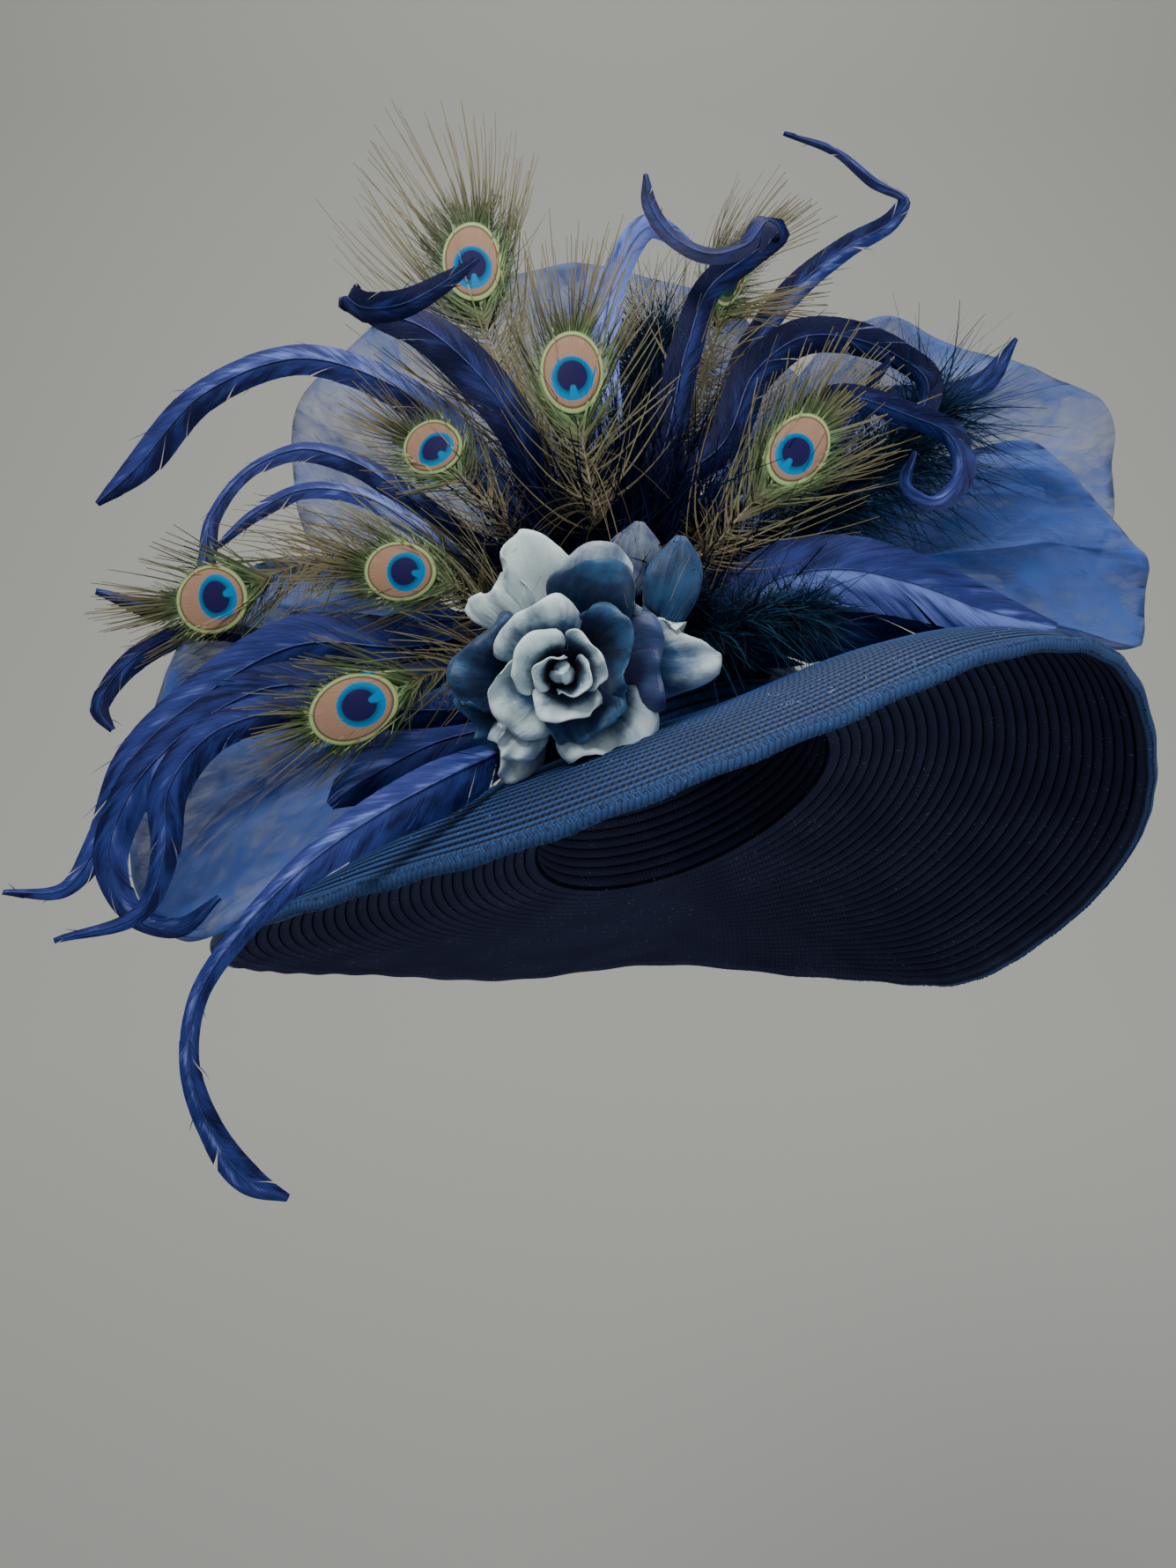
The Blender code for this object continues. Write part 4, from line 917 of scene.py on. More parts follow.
def peacock_finish(settings):
    """Peacock barbs. The mark eye holds the place in the eye, in its half widths and half lengths."""
    eye = Finish("peacock_barb", Roughness=0.55, Specular_IOR_Level=0.08)
    across, along, chance = eye.mark("eye")

    def oval(wide, long, shift):
        x = eye.math("DIVIDE", across, wide)
        y = eye.math("DIVIDE", eye.math("SUBTRACT", along, shift), long)
        return eye.math("SQRT", eye.plus(eye.times(x, x), eye.times(y, y)))

    whole = oval(1.0, 1.0, 0.0)
    blue = oval(*BLUE_OVAL)
    notch_half, notch_deep, steep, notch_from = PUPIL_NOTCH
    notch = eye.range(eye.math("ABSOLUTE", across), 0.0, notch_half, notch_deep, 0.0)
    below = eye.range(along, *notch_from, 1.0, 0.0)
    pupil = eye.plus(oval(*PUPIL_OVAL), eye.times(eye.times(notch, steep), below))
    barb = eye.mix(eye.range(whole, *PALE_GREEN_END), shaded(settings.green, PALE_GREEN), settings.green)
    barb = eye.mix(eye.range(whole, *GREEN_END), barb, settings.olive)
    barb = eye.lit(barb, eye.range(chance, -1.0, 1.0, *BARB_LIGHT, smooth=False))
    barb = eye.mix(eye.range(whole, *TAN_FROM, 0.0, FAR_SHARE), barb, settings.tan)
    far = shaded(settings.olive, FAR_OLIVE)
    barb = eye.mix(eye.range(whole, *DARK_FROM, 0.0, FAR_SHARE), barb, far)
    green = eye.range(chance, *GREEN_EYE_FROM)
    rings = (
        (whole, RIM_END, settings.rim),
        (whole, BROWN_END, shaded(settings.bronze, BROWN)),
        (whole, BRONZE_END, eye.mix(green, settings.bronze, settings.green)),
        (blue, BLUE_END, eye.mix(green, settings.turquoise, GREEN_EYE_MIDDLE)),
        (pupil, BLUE_EDGE_END, eye.mix(green, shaded(settings.turquoise, BLUE_EDGE), GREEN_EYE_EDGE)),
        (pupil, PUPIL_END, settings.pupil),
    )
    colour = barb
    for size, end, inner in rings:
        colour = eye.mix(eye.range(size, *end), inner, colour)
    meet, count = FINE_BARBS
    angle = eye.math("ARCTAN2", across, eye.plus(along, meet))
    fine = eye.noise(eye.vector(eye.times(angle, count), along), 2.2, 2.0)
    eye.colour(eye.lit(colour, eye.range(fine, 0.2, 0.8, *FINE_LIGHT, smooth=False)))
    return eye.material


def strand_finish(name, dark, light):
    """Fluff, each strand with its own shade between two."""
    fluff = Finish(name, Roughness=0.7, Specular_IOR_Level=0.12)
    _, along, chance = fluff.mark("strand")
    level = fluff.plus(fluff.range(chance, -0.2, 1.0), fluff.times(along, 0.25), clamp=True)
    fluff.colour(fluff.mix(level, dark, light))
    return fluff.material


# The net's small folds, in sets: their direction in degrees, their size across and along it in
# millimetres, and how much denser a fold and its crease are
NET_FOLDS = ((12.0, 24.0, 90.0, 0.24, 0.12), (-38.0, 28.0, 110.0, 0.2, 0.1), (64.0, 36.0, 100.0, 0.16, 0.08))
NET_CREASE = 0.05  # how far a crease reaches, as a share of its fold
NET_THREAD = 0.22  # how dense a thread is
NET_THREAD_EDGE = (0.55, 0.95)
NET_CLOUD = (0.03, 0.13)  # how dense the cloth between the threads is, where thin and where thick
NET_CLOUD_SIZE = 0.03
NET_DRIFT = (0.01, 9.0)  # the size of the folds' wandering, and how far they wander
NET_PALE = 1.35


def net_finish(settings):
    """Sheer net. The mark cloth holds the place on the flat cloth, in millimetres."""
    net = Finish("sheer_net", Roughness=0.6, Specular_IOR_Level=0.3, Sheen_Weight=0.08)
    across, along, layer = net.mark("cloth")

    def patches(size, *more):
        return net.noise(net.vector(net.times(across, size), net.times(along, size)), *more)

    turns = 2 * math.pi / (settings.thread_pitch / MM)
    first = net.math("SINE", net.times(net.plus(across, along), turns))
    second = net.math("SINE", net.times(net.math("SUBTRACT", across, along), turns))
    thread = net.range(net.math("MAXIMUM", first, second), *NET_THREAD_EDGE)
    cloud = patches(NET_CLOUD_SIZE, 2.0, 3.0)
    alpha = net.plus(net.times(thread, NET_THREAD), net.range(cloud, 0.3, 0.7, *NET_CLOUD))
    size, far = NET_DRIFT
    drift = patches(size, 1.0)
    place = net.vector(across, along, net.times(drift, far))
    for turn, wide, long, fold, crease in NET_FOLDS:
        turned = net.made("ShaderNodeVectorRotate", rotation_type="Z_AXIS")
        net.plug(turned.inputs["Vector"], place)
        turned.inputs["Angle"].default_value = math.radians(turn)
        x, y, _ = net.apart(turned.outputs[0])
        facet = net.vector(net.plus(net.math("DIVIDE", x, wide), drift), net.math("DIVIDE", y, long))
        cell = net.made("ShaderNodeTexVoronoi", voronoi_dimensions="2D")
        near = net.made("ShaderNodeTexVoronoi", voronoi_dimensions="2D", feature="DISTANCE_TO_EDGE")
        for texture in (cell, near):
            net.plug(texture.inputs["Vector"], facet)
            texture.inputs["Scale"].default_value = 1.0
        alpha = net.plus(alpha, net.times(net.apart(cell.outputs["Color"])[0], fold))
        alpha = net.plus(alpha, net.range(near.outputs["Distance"], 0.0, NET_CREASE, crease, 0.0))
    net.plug(net.shader.inputs["Alpha"], net.plus(alpha, layer, clamp=True))
    net.colour(net.mix(cloud, settings.colour, shaded(settings.colour, NET_PALE)))
    return net.material


# How much the silk's stains and veins change its shade, the veins' size, and the weave's share of the relief
STAIN = 0.16
VEIN = 0.05
VEIN_SIZE = (3.5, 1.2)
WEAVE = 0.2


def silk_finish(name, settings):
    """Dyed silk. The mark petal holds the way across, the way out and the shade."""
    silk = Finish(name, Roughness=0.5, Specular_IOR_Level=0.35, Sheen_Weight=0.15)
    across, out, shade = silk.mark("petal")
    _, plum, _ = silk.mark("tinge")
    stain = silk.noise(silk.place(), 60.0, 4.0, 0.6)
    vein_across, vein_out = VEIN_SIZE
    vein = silk.vector(silk.times(across, vein_across), silk.times(out, vein_out))
    vein = silk.noise(vein, 2.0, 3.0)
    level = silk.plus(shade, silk.range(stain, 0.3, 0.7, -STAIN, STAIN))
    level = silk.plus(level, silk.range(vein, 0.3, 0.7, -VEIN, VEIN), clamp=True)
    low = silk.mix(silk.range(level, 0.0, 0.4), settings.deep, settings.teal)
    colour = silk.mix(silk.range(level, 0.35, 0.95), low, settings.silver)
    silk.colour(silk.mix(plum, colour, settings.plum))
    weave = silk.noise(silk.place(), 1500.0, 1.0)
    silk.bump(silk.plus(vein, silk.times(weave, WEAVE)), 0.0005)
    return silk.material


# Painted light on the studio: how light its paint is at its lowest and highest, as shares, and between which
# heights it changes
STUDIO_PAINTED_LIGHT = (1.25, 0.78)
STUDIO_SPAN = (-0.3, 1.1)


def studio_finish(colour):
    """Paint with painted light on it: lighter towards the floor, darker up the wall."""
    wall = Finish("studio_wall", Roughness=0.9, Specular_IOR_Level=0.1)
    _, _, high = wall.apart(wall.place())
    light, dark = (shaded(colour, share) for share in STUDIO_PAINTED_LIGHT)
    wall.colour(wall.mix(wall.range(high, *STUDIO_SPAN, smooth=False), light, dark))
    return wall.material


# Geometry nodes


class Growth(Nodes):
    """A tree of geometry nodes and short calls for it."""

    def __init__(self, name, inputs):
        self.tree = bpy.data.node_groups.new(name, "GeometryNodeTree")
        self.tree.interface.new_socket("Geometry", in_out="INPUT", socket_type="NodeSocketGeometry")
        for label, kind, value in inputs:
            socket = self.tree.interface.new_socket(label, in_out="INPUT", socket_type=kind)
            if value is not None:
                socket.default_value = value
        self.tree.interface.new_socket("Geometry", in_out="OUTPUT", socket_type="NodeSocketGeometry")
        self.start = self.tree.nodes.new("NodeGroupInput").outputs

    def node(self, kind, values=(), **settings):
        """The first output of a node, with its inputs plugged by their names."""
        node = self.made(kind, **settings)
        for label, value in dict(values).items():
            self.plug(next(s for s in node.inputs if s.name == label and s.enabled), value)
        return next((s for s in node.outputs if s.enabled), None)

    def named(self, name, kind="FLOAT_VECTOR"):
        return self.node("GeometryNodeInputNamedAttribute", {"Name": name}, data_type=kind)

    def keep(self, geometry, name, value, kind="FLOAT_VECTOR"):
        values = {"Geometry": geometry, "Name": name, "Value": value}
        return self.node("GeometryNodeStoreNamedAttribute", values, data_type=kind, domain="POINT")

    def scaled(self, vector, factor):
        node = self.made("ShaderNodeVectorMath", (vector,), operation="SCALE")
        self.plug(node.inputs["Scale"], factor)
        return node.outputs[0]

    def vectors(self, operation, *values):
        return self.made("ShaderNodeVectorMath", values, operation=operation).outputs[0]

    def sum(self, a, b):
        return self.vectors("ADD", a, b)

    def finish(self, geometry):
        self.made("NodeGroupOutput", (geometry,))
        return self.tree


TAPER_POWER = 1.5  # how late a strand grows thin
ROD_SIDES = 6


def strand_tree(name, rod):
    """A barb, strand or stitch on every point of a mesh, flat or as a rod.

    Each point gives its strand's heading and bend, whole vectors, the way across its width, its girth as a
    factor, and the start, change and bend of the mark that its material reads.
    """
    grow = Growth(
        name,
        (
            ("Width", "NodeSocketFloat", 0.001),
            ("Points along", "NodeSocketInt", 8),
            ("Taper", "NodeSocketFloat", 0.7),
            ("Stray", "NodeSocketFloat", 0.0),
            ("Mark spread", "NodeSocketFloat", 0.0),
            ("Seed", "NodeSocketInt", 1),
            ("Material", "NodeSocketMaterial", None),
        ),
    )
    geometry, width, sections, taper, stray, spread, seed, material = list(grow.start)[:8]
    if rod:
        sizes = {"Vertices": ROD_SIDES, "Side Segments": sections, "Radius": 0.5, "Depth": 1.0}
        shape = grow.node("GeometryNodeMeshCylinder", sizes, fill_type="NGON")
    else:
        sizes = {"Size X": 1.0, "Size Y": 1.0, "Vertices X": sections, "Vertices Y": 2}
        shape = grow.node("GeometryNodeMeshGrid", sizes)
    shape = grow.keep(shape, "shape", grow.node("GeometryNodeInputPosition"))
    chance = {"Min": (-1.0, -1.0, -1.0), "Max": (1.0, 1.0, 1.0), "Seed": seed}
    chance = grow.node("FunctionNodeRandomValue", chance, data_type="FLOAT_VECTOR")
    roots = grow.keep(geometry, "root", grow.node("GeometryNodeInputPosition"))
    roots = grow.keep(roots, "chance", chance)
    grown = grow.node("GeometryNodeInstanceOnPoints", {"Points": roots, "Instance": shape})
    grown = grow.node("GeometryNodeRealizeInstances", {"Geometry": grown})
    x, y, z = grow.apart(grow.named("shape"))[:3]
    t = grow.plus(z if rod else x, 0.5)
    across, up = (x, y) if rod else (y, 0.0)
    squared = grow.times(t, t)

    def curve(start, way, bend):
        """The point t of the bow that three marks give."""
        so_far = grow.sum(grow.named(start), grow.scaled(grow.named(way), t))
        return grow.sum(so_far, grow.scaled(grow.named(bend), squared))

    drift = grow.scaled(grow.named("chance"), grow.times(squared, stray))
    middle = grow.sum(curve("root", "heading", "bend"), drift)
    thin = grow.times(grow.math("POWER", t, TAPER_POWER), taper)
    wide = grow.times(grow.math("SUBTRACT", 1.0, thin), width)
    wide = grow.times(wide, grow.named("girth", "FLOAT"))
    place = grow.scaled(grow.named("across"), grow.times(across, wide))
    if rod:
        away = grow.vectors("CROSS_PRODUCT", grow.named("heading"), grow.named("across"))
        away = grow.vectors("NORMALIZE", away)
        place = grow.sum(place, grow.scaled(away, grow.times(up, wide)))
    values = {"Geometry": grown, "Position": grow.sum(middle, place)}
    grown = grow.node("GeometryNodeSetPosition", values)
    luck = grow.apart(grow.named("chance"))[0]
    mark = curve("mark_start", "mark_way", "mark_bend")
    mark = grow.sum(mark, grow.vector(0.0, 0.0, grow.times(luck, spread)))
    grown = grow.keep(grown, "mark", mark)
    grown = grow.keep(grown, "strand", grow.vector(across, t, luck))
    grown = grow.node("GeometryNodeSetShadeSmooth", {"Geometry": grown, "Shade Smooth": True})
    grown = grow.node("GeometryNodeRealizeInstances", {"Geometry": grown})
    return grow.finish(grow.node("GeometryNodeSetMaterial", {"Geometry": grown, "Material": material}))


STRAND_INPUTS = ("Width", "Points along", "Taper", "Stray", "Mark spread", "Seed")
# kind: its values for those inputs, the lengths in metres
STRANDS = {
    "tick": (0.0013, 4, 0.1, 0.0002, 0.0, 11),
    "loose": (0.0004, 6, 0.8, 0.0008, 0.1, 5),
    "peacock": (0.00046, 11, 0.6, 0.0048, 1.0, 3),
    "plume": (0.0007, 9, 0.75, 0.008, 0.0, 7),
    "hackle": (0.0013, 7, 0.8, 0.005, 0.0, 17),
    "dry": (0.0006, 14, 0.7, 0.004, 0.0, 29),
}
# Where each kind's random numbers start
SEEDS = {"base": 91, "dry": 64, "plumes": 55, "net": 13, "peacock": 8, "cock": 21, "goose": 34}
SCRATCH_MARKS = (
    "shape", "root", "chance", "heading", "bend", "across", "girth", "mark_start", "mark_way", "mark_bend",
)


def strand_values(kind, material, **changes):
    return dict(zip(STRAND_INPUTS, STRANDS[kind])) | {"Material": material} | changes


def grown(name, tree, roots, values, mark=None):
    """Strands grown on rows of roots and made a plain mesh. roots: a dict of arrays in millimetres."""
    mesh = bpy.data.meshes.new(name)
    mesh.from_pydata((np.asarray(roots["root"]) * MM).tolist(), [], [])
    count = len(mesh.vertices)
    for key in ("heading", "bend"):
        put(mesh, key, np.asarray(roots[key], np.float32) * MM)
    for key in ("across", "mark_start", "mark_way", "mark_bend"):
        put(mesh, key, roots.get(key, np.zeros((count, 3))))
    put(mesh, "girth", roots.get("girth", np.ones(count)), "FLOAT", "value")
    piece = placed(name, mesh)
    modifier = piece.modifiers.new("strands", "NODES")
    modifier.node_group = tree
    for item in tree.interface.items_tree:
        if item.name in values:
            modifier[item.identifier] = values[item.name]
    depsgraph = bpy.context.evaluated_depsgraph_get()
    made = bpy.data.meshes.new_from_object(
        piece.evaluated_get(depsgraph), preserve_all_data_layers=True, depsgraph=depsgraph
    )
    piece.modifiers.remove(modifier)
    piece.data = made
    bpy.data.meshes.remove(mesh)
    made.name = name
    for layer in list(made.attributes):
        if layer.name in SCRATCH_MARKS:
            made.attributes.remove(layer)
    if mark:
        made.attributes["mark"].name = mark
    return piece


# Straw

# Cross-section of a sewn row, its edges tucked under: share of its width, share of its height
ROW_TOP = ((-0.12, -0.7), (0.04, 0.1), (0.28, 0.8), (0.6, 1.0), (0.88, 0.6), (1.0, -0.1))
ROW_UNDER = ((-0.1, 0.3), (0.12, -0.5), (0.5, -1.0), (0.88, -0.5), (1.02, 0.2))
ROW_INSIDE = ((-0.1, 0.3), (0.3, -0.6), (0.8, -0.5), (1.0, 0.2))
BRIM_AROUND = 416
CROWN_AROUND = 288
INSIDE_AROUND = 144
CROWN_SIDE = 250.0  # azimuth along which the crown's rows are measured
BEND_OUT = 0.011  # the rings no further out than this lie where the brim leaves the crown
CROWN_STEPS = 2001  # points at which they are measured
CROWN_TOP = 0.995  # the innermost ring, as a share of the way up

# The edge row, from its sewn side: distance out, height above the straw's outer face
EDGE_RING = (
    (0.0, -0.2), (0.5, 0.9), (1.6, 1.6), (3.0, 1.5), (3.9, 0.7), (4.4, -0.1), (4.9, 0.7), (6.2, 2.0),
    (7.9, 2.3), (9.4, 1.6), (10.2, 0.2), (10.0, -1.3), (9.1, -2.5), (7.7, -3.1), (6.3, -2.9), (5.5, -2.1),
    (4.7, -2.8), (3.2, -3.1), (1.8, -2.9), (0.9, -2.2), (-0.2, -1.3),
)
# painted light: the edge row's underside takes the brim's painted-shade underside colour, made paler so that
# the shaded band under the edge is not black
EDGE_UNDER_PAINTED_LIGHT = 1.3  # how much paler the edge row's underside is than the brim's
EDGE_UNDER_FROM = 13  # the points of the ring from here on belong to the underside
CROSSINGS_LEAST = 6
ROW_NEAR = 0.01  # how near the row between crown and brim the nearest rings come
CROWN_FOOT = 0.0005  # the lowest ring, as a share of the crown's rows
BRIM_PAST = 1.01  # how far past the edge row's seam the last row may run
# How deep the relief of the plait is on the top, below and on the edge row, in metres
TOP_RELIEF = 0.00025
UNDER_RELIEF = 0.0003
EDGE_RELIEF = 0.0006
EDGE_GLOSS = 0.1
EDGE_AROUND = 1200
EDGE_GIRTH = 2 * math.pi * (HEAD_LONG / 2 + BRIM_WIDE) * MM  # in metres
EDGE_WAVES = 43
EDGE_WAVE_DEEP = 0.5
EDGE_STRAND_POINTS = 5  # points of the ring to one strand of its plait
INSIDE_ROWS = 30
# where the painted groove shade on the underside's rows starts and is darkest
UNDER_GROOVE = (0.84, 0.97)
UNDER_ROUGH = (0.85, 0.95)
# past any row: no painted groove shade on a row's outer side
NO_GROOVE = (8.0, 9.0)
TICK_SPAN = ((4.9, 0.3), (8.4, 2.5), (9.7, -1.9))  # its start, middle and end, as in EDGE_RING
TICK_LEAN = 0.35  # how far its outer end runs on, in degrees of azimuth
TICK_UNEVEN = 0.3  # how much thicker or thinner than the others a strand may be
TICK_BEATS = (2.4, 0.7)


def crown_outs(share):
    """The out values at shares of the way up the crown, and the length of that way."""
    outs = -CROWN_HIGH * (1 - np.cos(np.linspace(0, math.pi, CROWN_STEPS))) / 2
    line = hat_point(CROWN_SIDE, outs)
    at = np.concatenate([[0.0], np.cumsum(np.linalg.norm(np.diff(line, axis=0), axis=1))])
    return np.interp(np.asarray(share) * at[-1], at, outs), at[-1]


def braid(name, material, rows, around, section, out_at, settings, lift=0.0, inside=False, cap=False):
    """Rows of braid, each its own strip, and a fan of faces over the last where cap is true.

    out_at: the out value at a place counted in rows.
    """
    turns = np.arange(around) * 360.0 / around
    size = len(section)
    points = []
    faces = []
    places = []
    strip = grid_faces(size, around, wrap=True)
    column = np.arange((size - 1) * around) % around
    level = np.arange((size - 1) * around) // around
    shares = np.array([share for share, _ in section])
    for row in range(rows):
        for share, high in section:
            out = np.full(around, out_at(row + share))
            lifted = lift + high * settings.row_height / MM
            ring = hat_point(turns, out) + hat_normal(turns, out) * lifted
            if inside and abs(out[0]) <= BEND_OUT:
                # the inner faces of crown and brim meet where both are a straw's thickness in
                corner = hat_normal(turns, 0 * out) + hat_normal(turns, 0 * out - PROBE)
                ring = hat_point(turns, 0 * out) + corner * lift
            points.append(ring)
        ring = points[-size // 2]
        girth = np.linalg.norm(ring - np.roll(ring, 1, axis=0), axis=1).sum()
        crossings = max(CROSSINGS_LEAST, round(girth * MM / settings.plait_length))
        faces.append(strip + row * size * around)
        u = np.stack([column, column + 1, column + 1, column], -1) / around * crossings
        v = np.stack([shares[level], shares[level], shares[level + 1], shares[level + 1]], -1)
        places.append(np.stack([u, v], -1))
    faces = np.vstack(faces)
    places = np.vstack(places)
    if inside:
        faces = faces[:, ::-1]
        places = places[:, ::-1]
    faces = faces.tolist()
    places = places.reshape(-1, 2)
    points = np.vstack(points)
    if cap:
        last = len(points) - around
        top = points[last:].mean(axis=0)
        order = ((k, (k + 1) % around) for k in range(around))
        fan = [(last + k, last + n, len(points)) for k, n in order]
        faces += [(b, a, tip) for a, b, tip in fan] if inside else fan
        places = np.vstack([places, np.full((3 * around, 2), 0.5)])
        points = np.vstack([points, top])
    return mapped(new_piece(name, points, faces, [material]), places)


def edge_point(azimuth, out, lift):
    """A place on the edge row: out from its sewn side, lift from the straw's outer face."""
    wave = EDGE_WAVE_DEEP * np.sin(np.radians(azimuth) * EDGE_WAVES) * min(out / EDGE_WIDE, 1.0)
    start = np.full(azimuth.shape, BRIM_WIDE - EDGE_WIDE)
    return hat_point(azimuth, start + out) + hat_normal(azimuth, start) * (lift + wave)[..., None]


def edge_row(materials, settings):
    turns = np.arange(EDGE_AROUND) * 360.0 / EDGE_AROUND
    size = len(EDGE_RING)
    loops = [edge_point(turns, out, lift) for out, lift in (*EDGE_RING, EDGE_RING[0])]
    faces = grid_faces(size + 1, EDGE_AROUND, wrap=True)
    places = np.stack([faces % EDGE_AROUND, faces // EDGE_AROUND], -1).astype(float)
    places[:, 1:3, 0] = places[:, 0:1, 0] + 1
    girth = EDGE_GIRTH
    places = places * (round(girth / settings.plait_length) / EDGE_AROUND, 1 / EDGE_STRAND_POINTS)
    points = np.vstack(loops[:-1])
    under = faces[:, 0] // EDGE_AROUND >= EDGE_UNDER_FROM
    piece = new_piece("edge_row", points, (faces % len(points)).tolist(), materials, face_materials=under)
    return mapped(piece, places)


def mapped(piece, places):
    """Gives a piece its straw map: crossings along a row, and the way across it, at each face's corners."""
    layer = piece.data.uv_layers.new(name="straw")
    layer.data.foreach_set("uv", np.asarray(places, np.float32).ravel())
    return piece


def edge_ticks(tree, material, settings):
    """Short strands of straw across the outer ridge of the edge row."""
    count = round(EDGE_GIRTH / settings.tick_pitch)
    turns = np.arange(count) * 360.0 / count
    start, middle, end = (
        edge_point(turns + TICK_LEAN * k, out, lift)
        for k, (out, lift) in enumerate(TICK_SPAN)
    )
    number = np.arange(count)
    fast, slow = TICK_BEATS
    bend = 2 * (start + end - 2 * middle)
    roots = {
        "root": start,
        "heading": end - start - bend,
        "bend": bend,
        "across": unit(np.roll(start, -1, axis=0) - start),
        "girth": 1 + TICK_UNEVEN * np.sin(number * fast) * np.sin(number * slow),
    }
    return grown("edge_ticks", tree, roots, strand_values("tick", material))


# Feathers


class Blade:
    """A curved feather or leaf, read by the distance from its seat, in millimetres."""

    def __init__(self, seat_at, rows, count=240):
        rows = np.array(rooted(seat_at, rows), float)
        rows[:2, 3] = STEM_HALF
        rows[:, 4] *= TWIST_SHOWN
        self.rows = through(rows, count)
        gaps = np.linalg.norm(np.diff(self.rows[:, :3], axis=0), axis=1)
        self.at = np.concatenate([[0.0], np.cumsum(gaps)])
        self.long = self.at[-1]
        self.ways = directions(self.rows)

    def read(self, where):
        """Rows and the directions along, out of the face and across, at each distance."""
        where = np.clip(np.asarray(where, float), 0, self.long)

        def pick(table):
            return np.stack([np.interp(where, self.at, column) for column in table.T], -1)

        return pick(self.rows), *(unit(pick(way)) for way in self.ways)

    def half(self, where):
        return np.maximum(np.interp(where, self.at, self.rows[:, 3]), BLADE_LEAST)

    def over(self, where, x, lift):
        """A place x to the side of the stem. Past the tip the blade's face runs on straight."""
        rows, along, front, side = self.read(where)
        past = np.clip(np.asarray(where, float) - self.long, 0, None)[..., None]
        return rows[..., :3] + along * past + side * x[..., None] + front * lift[..., None]

    def point(self, where, share, lift=0.0):
        """A place on the blade. share: -1 to 1 across it. lift: out of its face."""
        rows, _, front, side = self.read(where)
        half = self.half(where)[..., None]
        share = np.asarray(share, float)[..., None]
        lift = np.asarray(lift, float)[..., None]
        return rows[..., :3] + side * half * share + front * (lift - half * BLADE_CUP * share**2)


VANE_SHARES = np.array([0.0, 0.12, 0.28, 0.45, 0.62, 0.8, 1.0])
VANE_LEAN = math.radians(27)  # between a barb and the stem
VANE_LOCK = (7.0, 60.0)  # lengths of vane between splits
SPLIT_FROM = 0.2  # share of the way across where a split starts
SPLIT_CHANCE = 0.22  # share of the locks' ends that stand open
SPLIT_SIZES = (0.3, 1.6)  # shares of the setting's width
SPLIT_POWER = 1.3
VANE_LEAST = 1.0  # the shortest piece of vane at the tip
LOCK_UNEVEN = 0.03  # how much wider or narrower a lock may be, as a share
BARB_UNEVEN = 0.006
LOCK_SHADE = 0.04
LOCK_TILT = 0.7  # how far a lock's edge stands off the blade
STEM_RADIUS = (0.6, 0.12)
STEM_SHORT = 0.5  # how far before the tip the stem ends
STEM_LIFT = 0.3
STEM_STEPS = 8
STEM_STEP = 4.0
WIDER = {("cock_feather_hanging", -1): 0.8}  # name and side: how much wider at its root
WIDER_UP_TO = 0.7  # share of its length over which the added width runs out


def shade_at(dye, share):
    root, middle, tip, _ = dye
    return np.interp(share, (0.0, 0.5, 1.0), (root, middle, tip))


def vane(build, blade, way, dye, settings, rng, wider=0.0):
    """One side of a feather's vane, in locks of barbs with splits between.

    wider: how much wider this side is at the feather's root, as a share of it.
    """
    pitch = settings.barb_pitch / MM
    gap = settings.split_gap / MM
    place = STEM_RISE
    open_share = np.clip((VANE_SHARES - SPLIT_FROM) / (1 - SPLIT_FROM), 0, 1) ** SPLIT_POWER
    while place < blade.long - VANE_LEAST:
        lock = min(rng.uniform(*VANE_LOCK), blade.long - place)
        count = max(2, round(lock / pitch)) + 1
        root = np.linspace(place, place + lock, count)[:, None]
        reach = blade.half(root) / math.tan(VANE_LEAN)
        near, far = gap * rng.uniform(*SPLIT_SIZES, 2) * (rng.random(2) < SPLIT_CHANCE)
        along = np.linspace(0, 1, count)[:, None]
        where = root + reach * VANE_SHARES + open_share * (near * (1 - along) - far * along)
        edge = 1 + rng.uniform(-LOCK_UNEVEN, LOCK_UNEVEN) + rng.normal(0, BARB_UNEVEN, (count, 1))
        edge = edge * (1 + wider * np.clip(1 - root / blade.long / WIDER_UP_TO, 0, 1))
        share = way * VANE_SHARES * edge
        tilt = rng.normal(0, LOCK_TILT) * (along - 0.5) + rng.normal(0, LOCK_TILT / 2)
        lift = tilt * VANE_SHARES**2
        shade = shade_at(dye, root / blade.long) + way * dye[3] + rng.normal(0, LOCK_SHADE)
        marks = np.stack(np.broadcast_arrays(share, root, shade), -1)
        build.add(blade.point(where, share, lift), grid_faces(count, len(VANE_SHARES)), marks, 0)
        place += lock


LOOSE_REACH = 3.0  # the least length of a loose barb
LOOSE_HALVES = (0.5, 1.0)  # how many of the blade's half widths are added to it
LOOSE_LEAN = (0.3, 0.9)
LOOSE_FROM = (0.75, 0.95)  # where it leaves the blade, as a share of the half width
LOOSE_LIFT = 0.3
LOOSE_BEND = (0.3, 0.15)  # as shares of its length: to its front or back, and in towards the tip


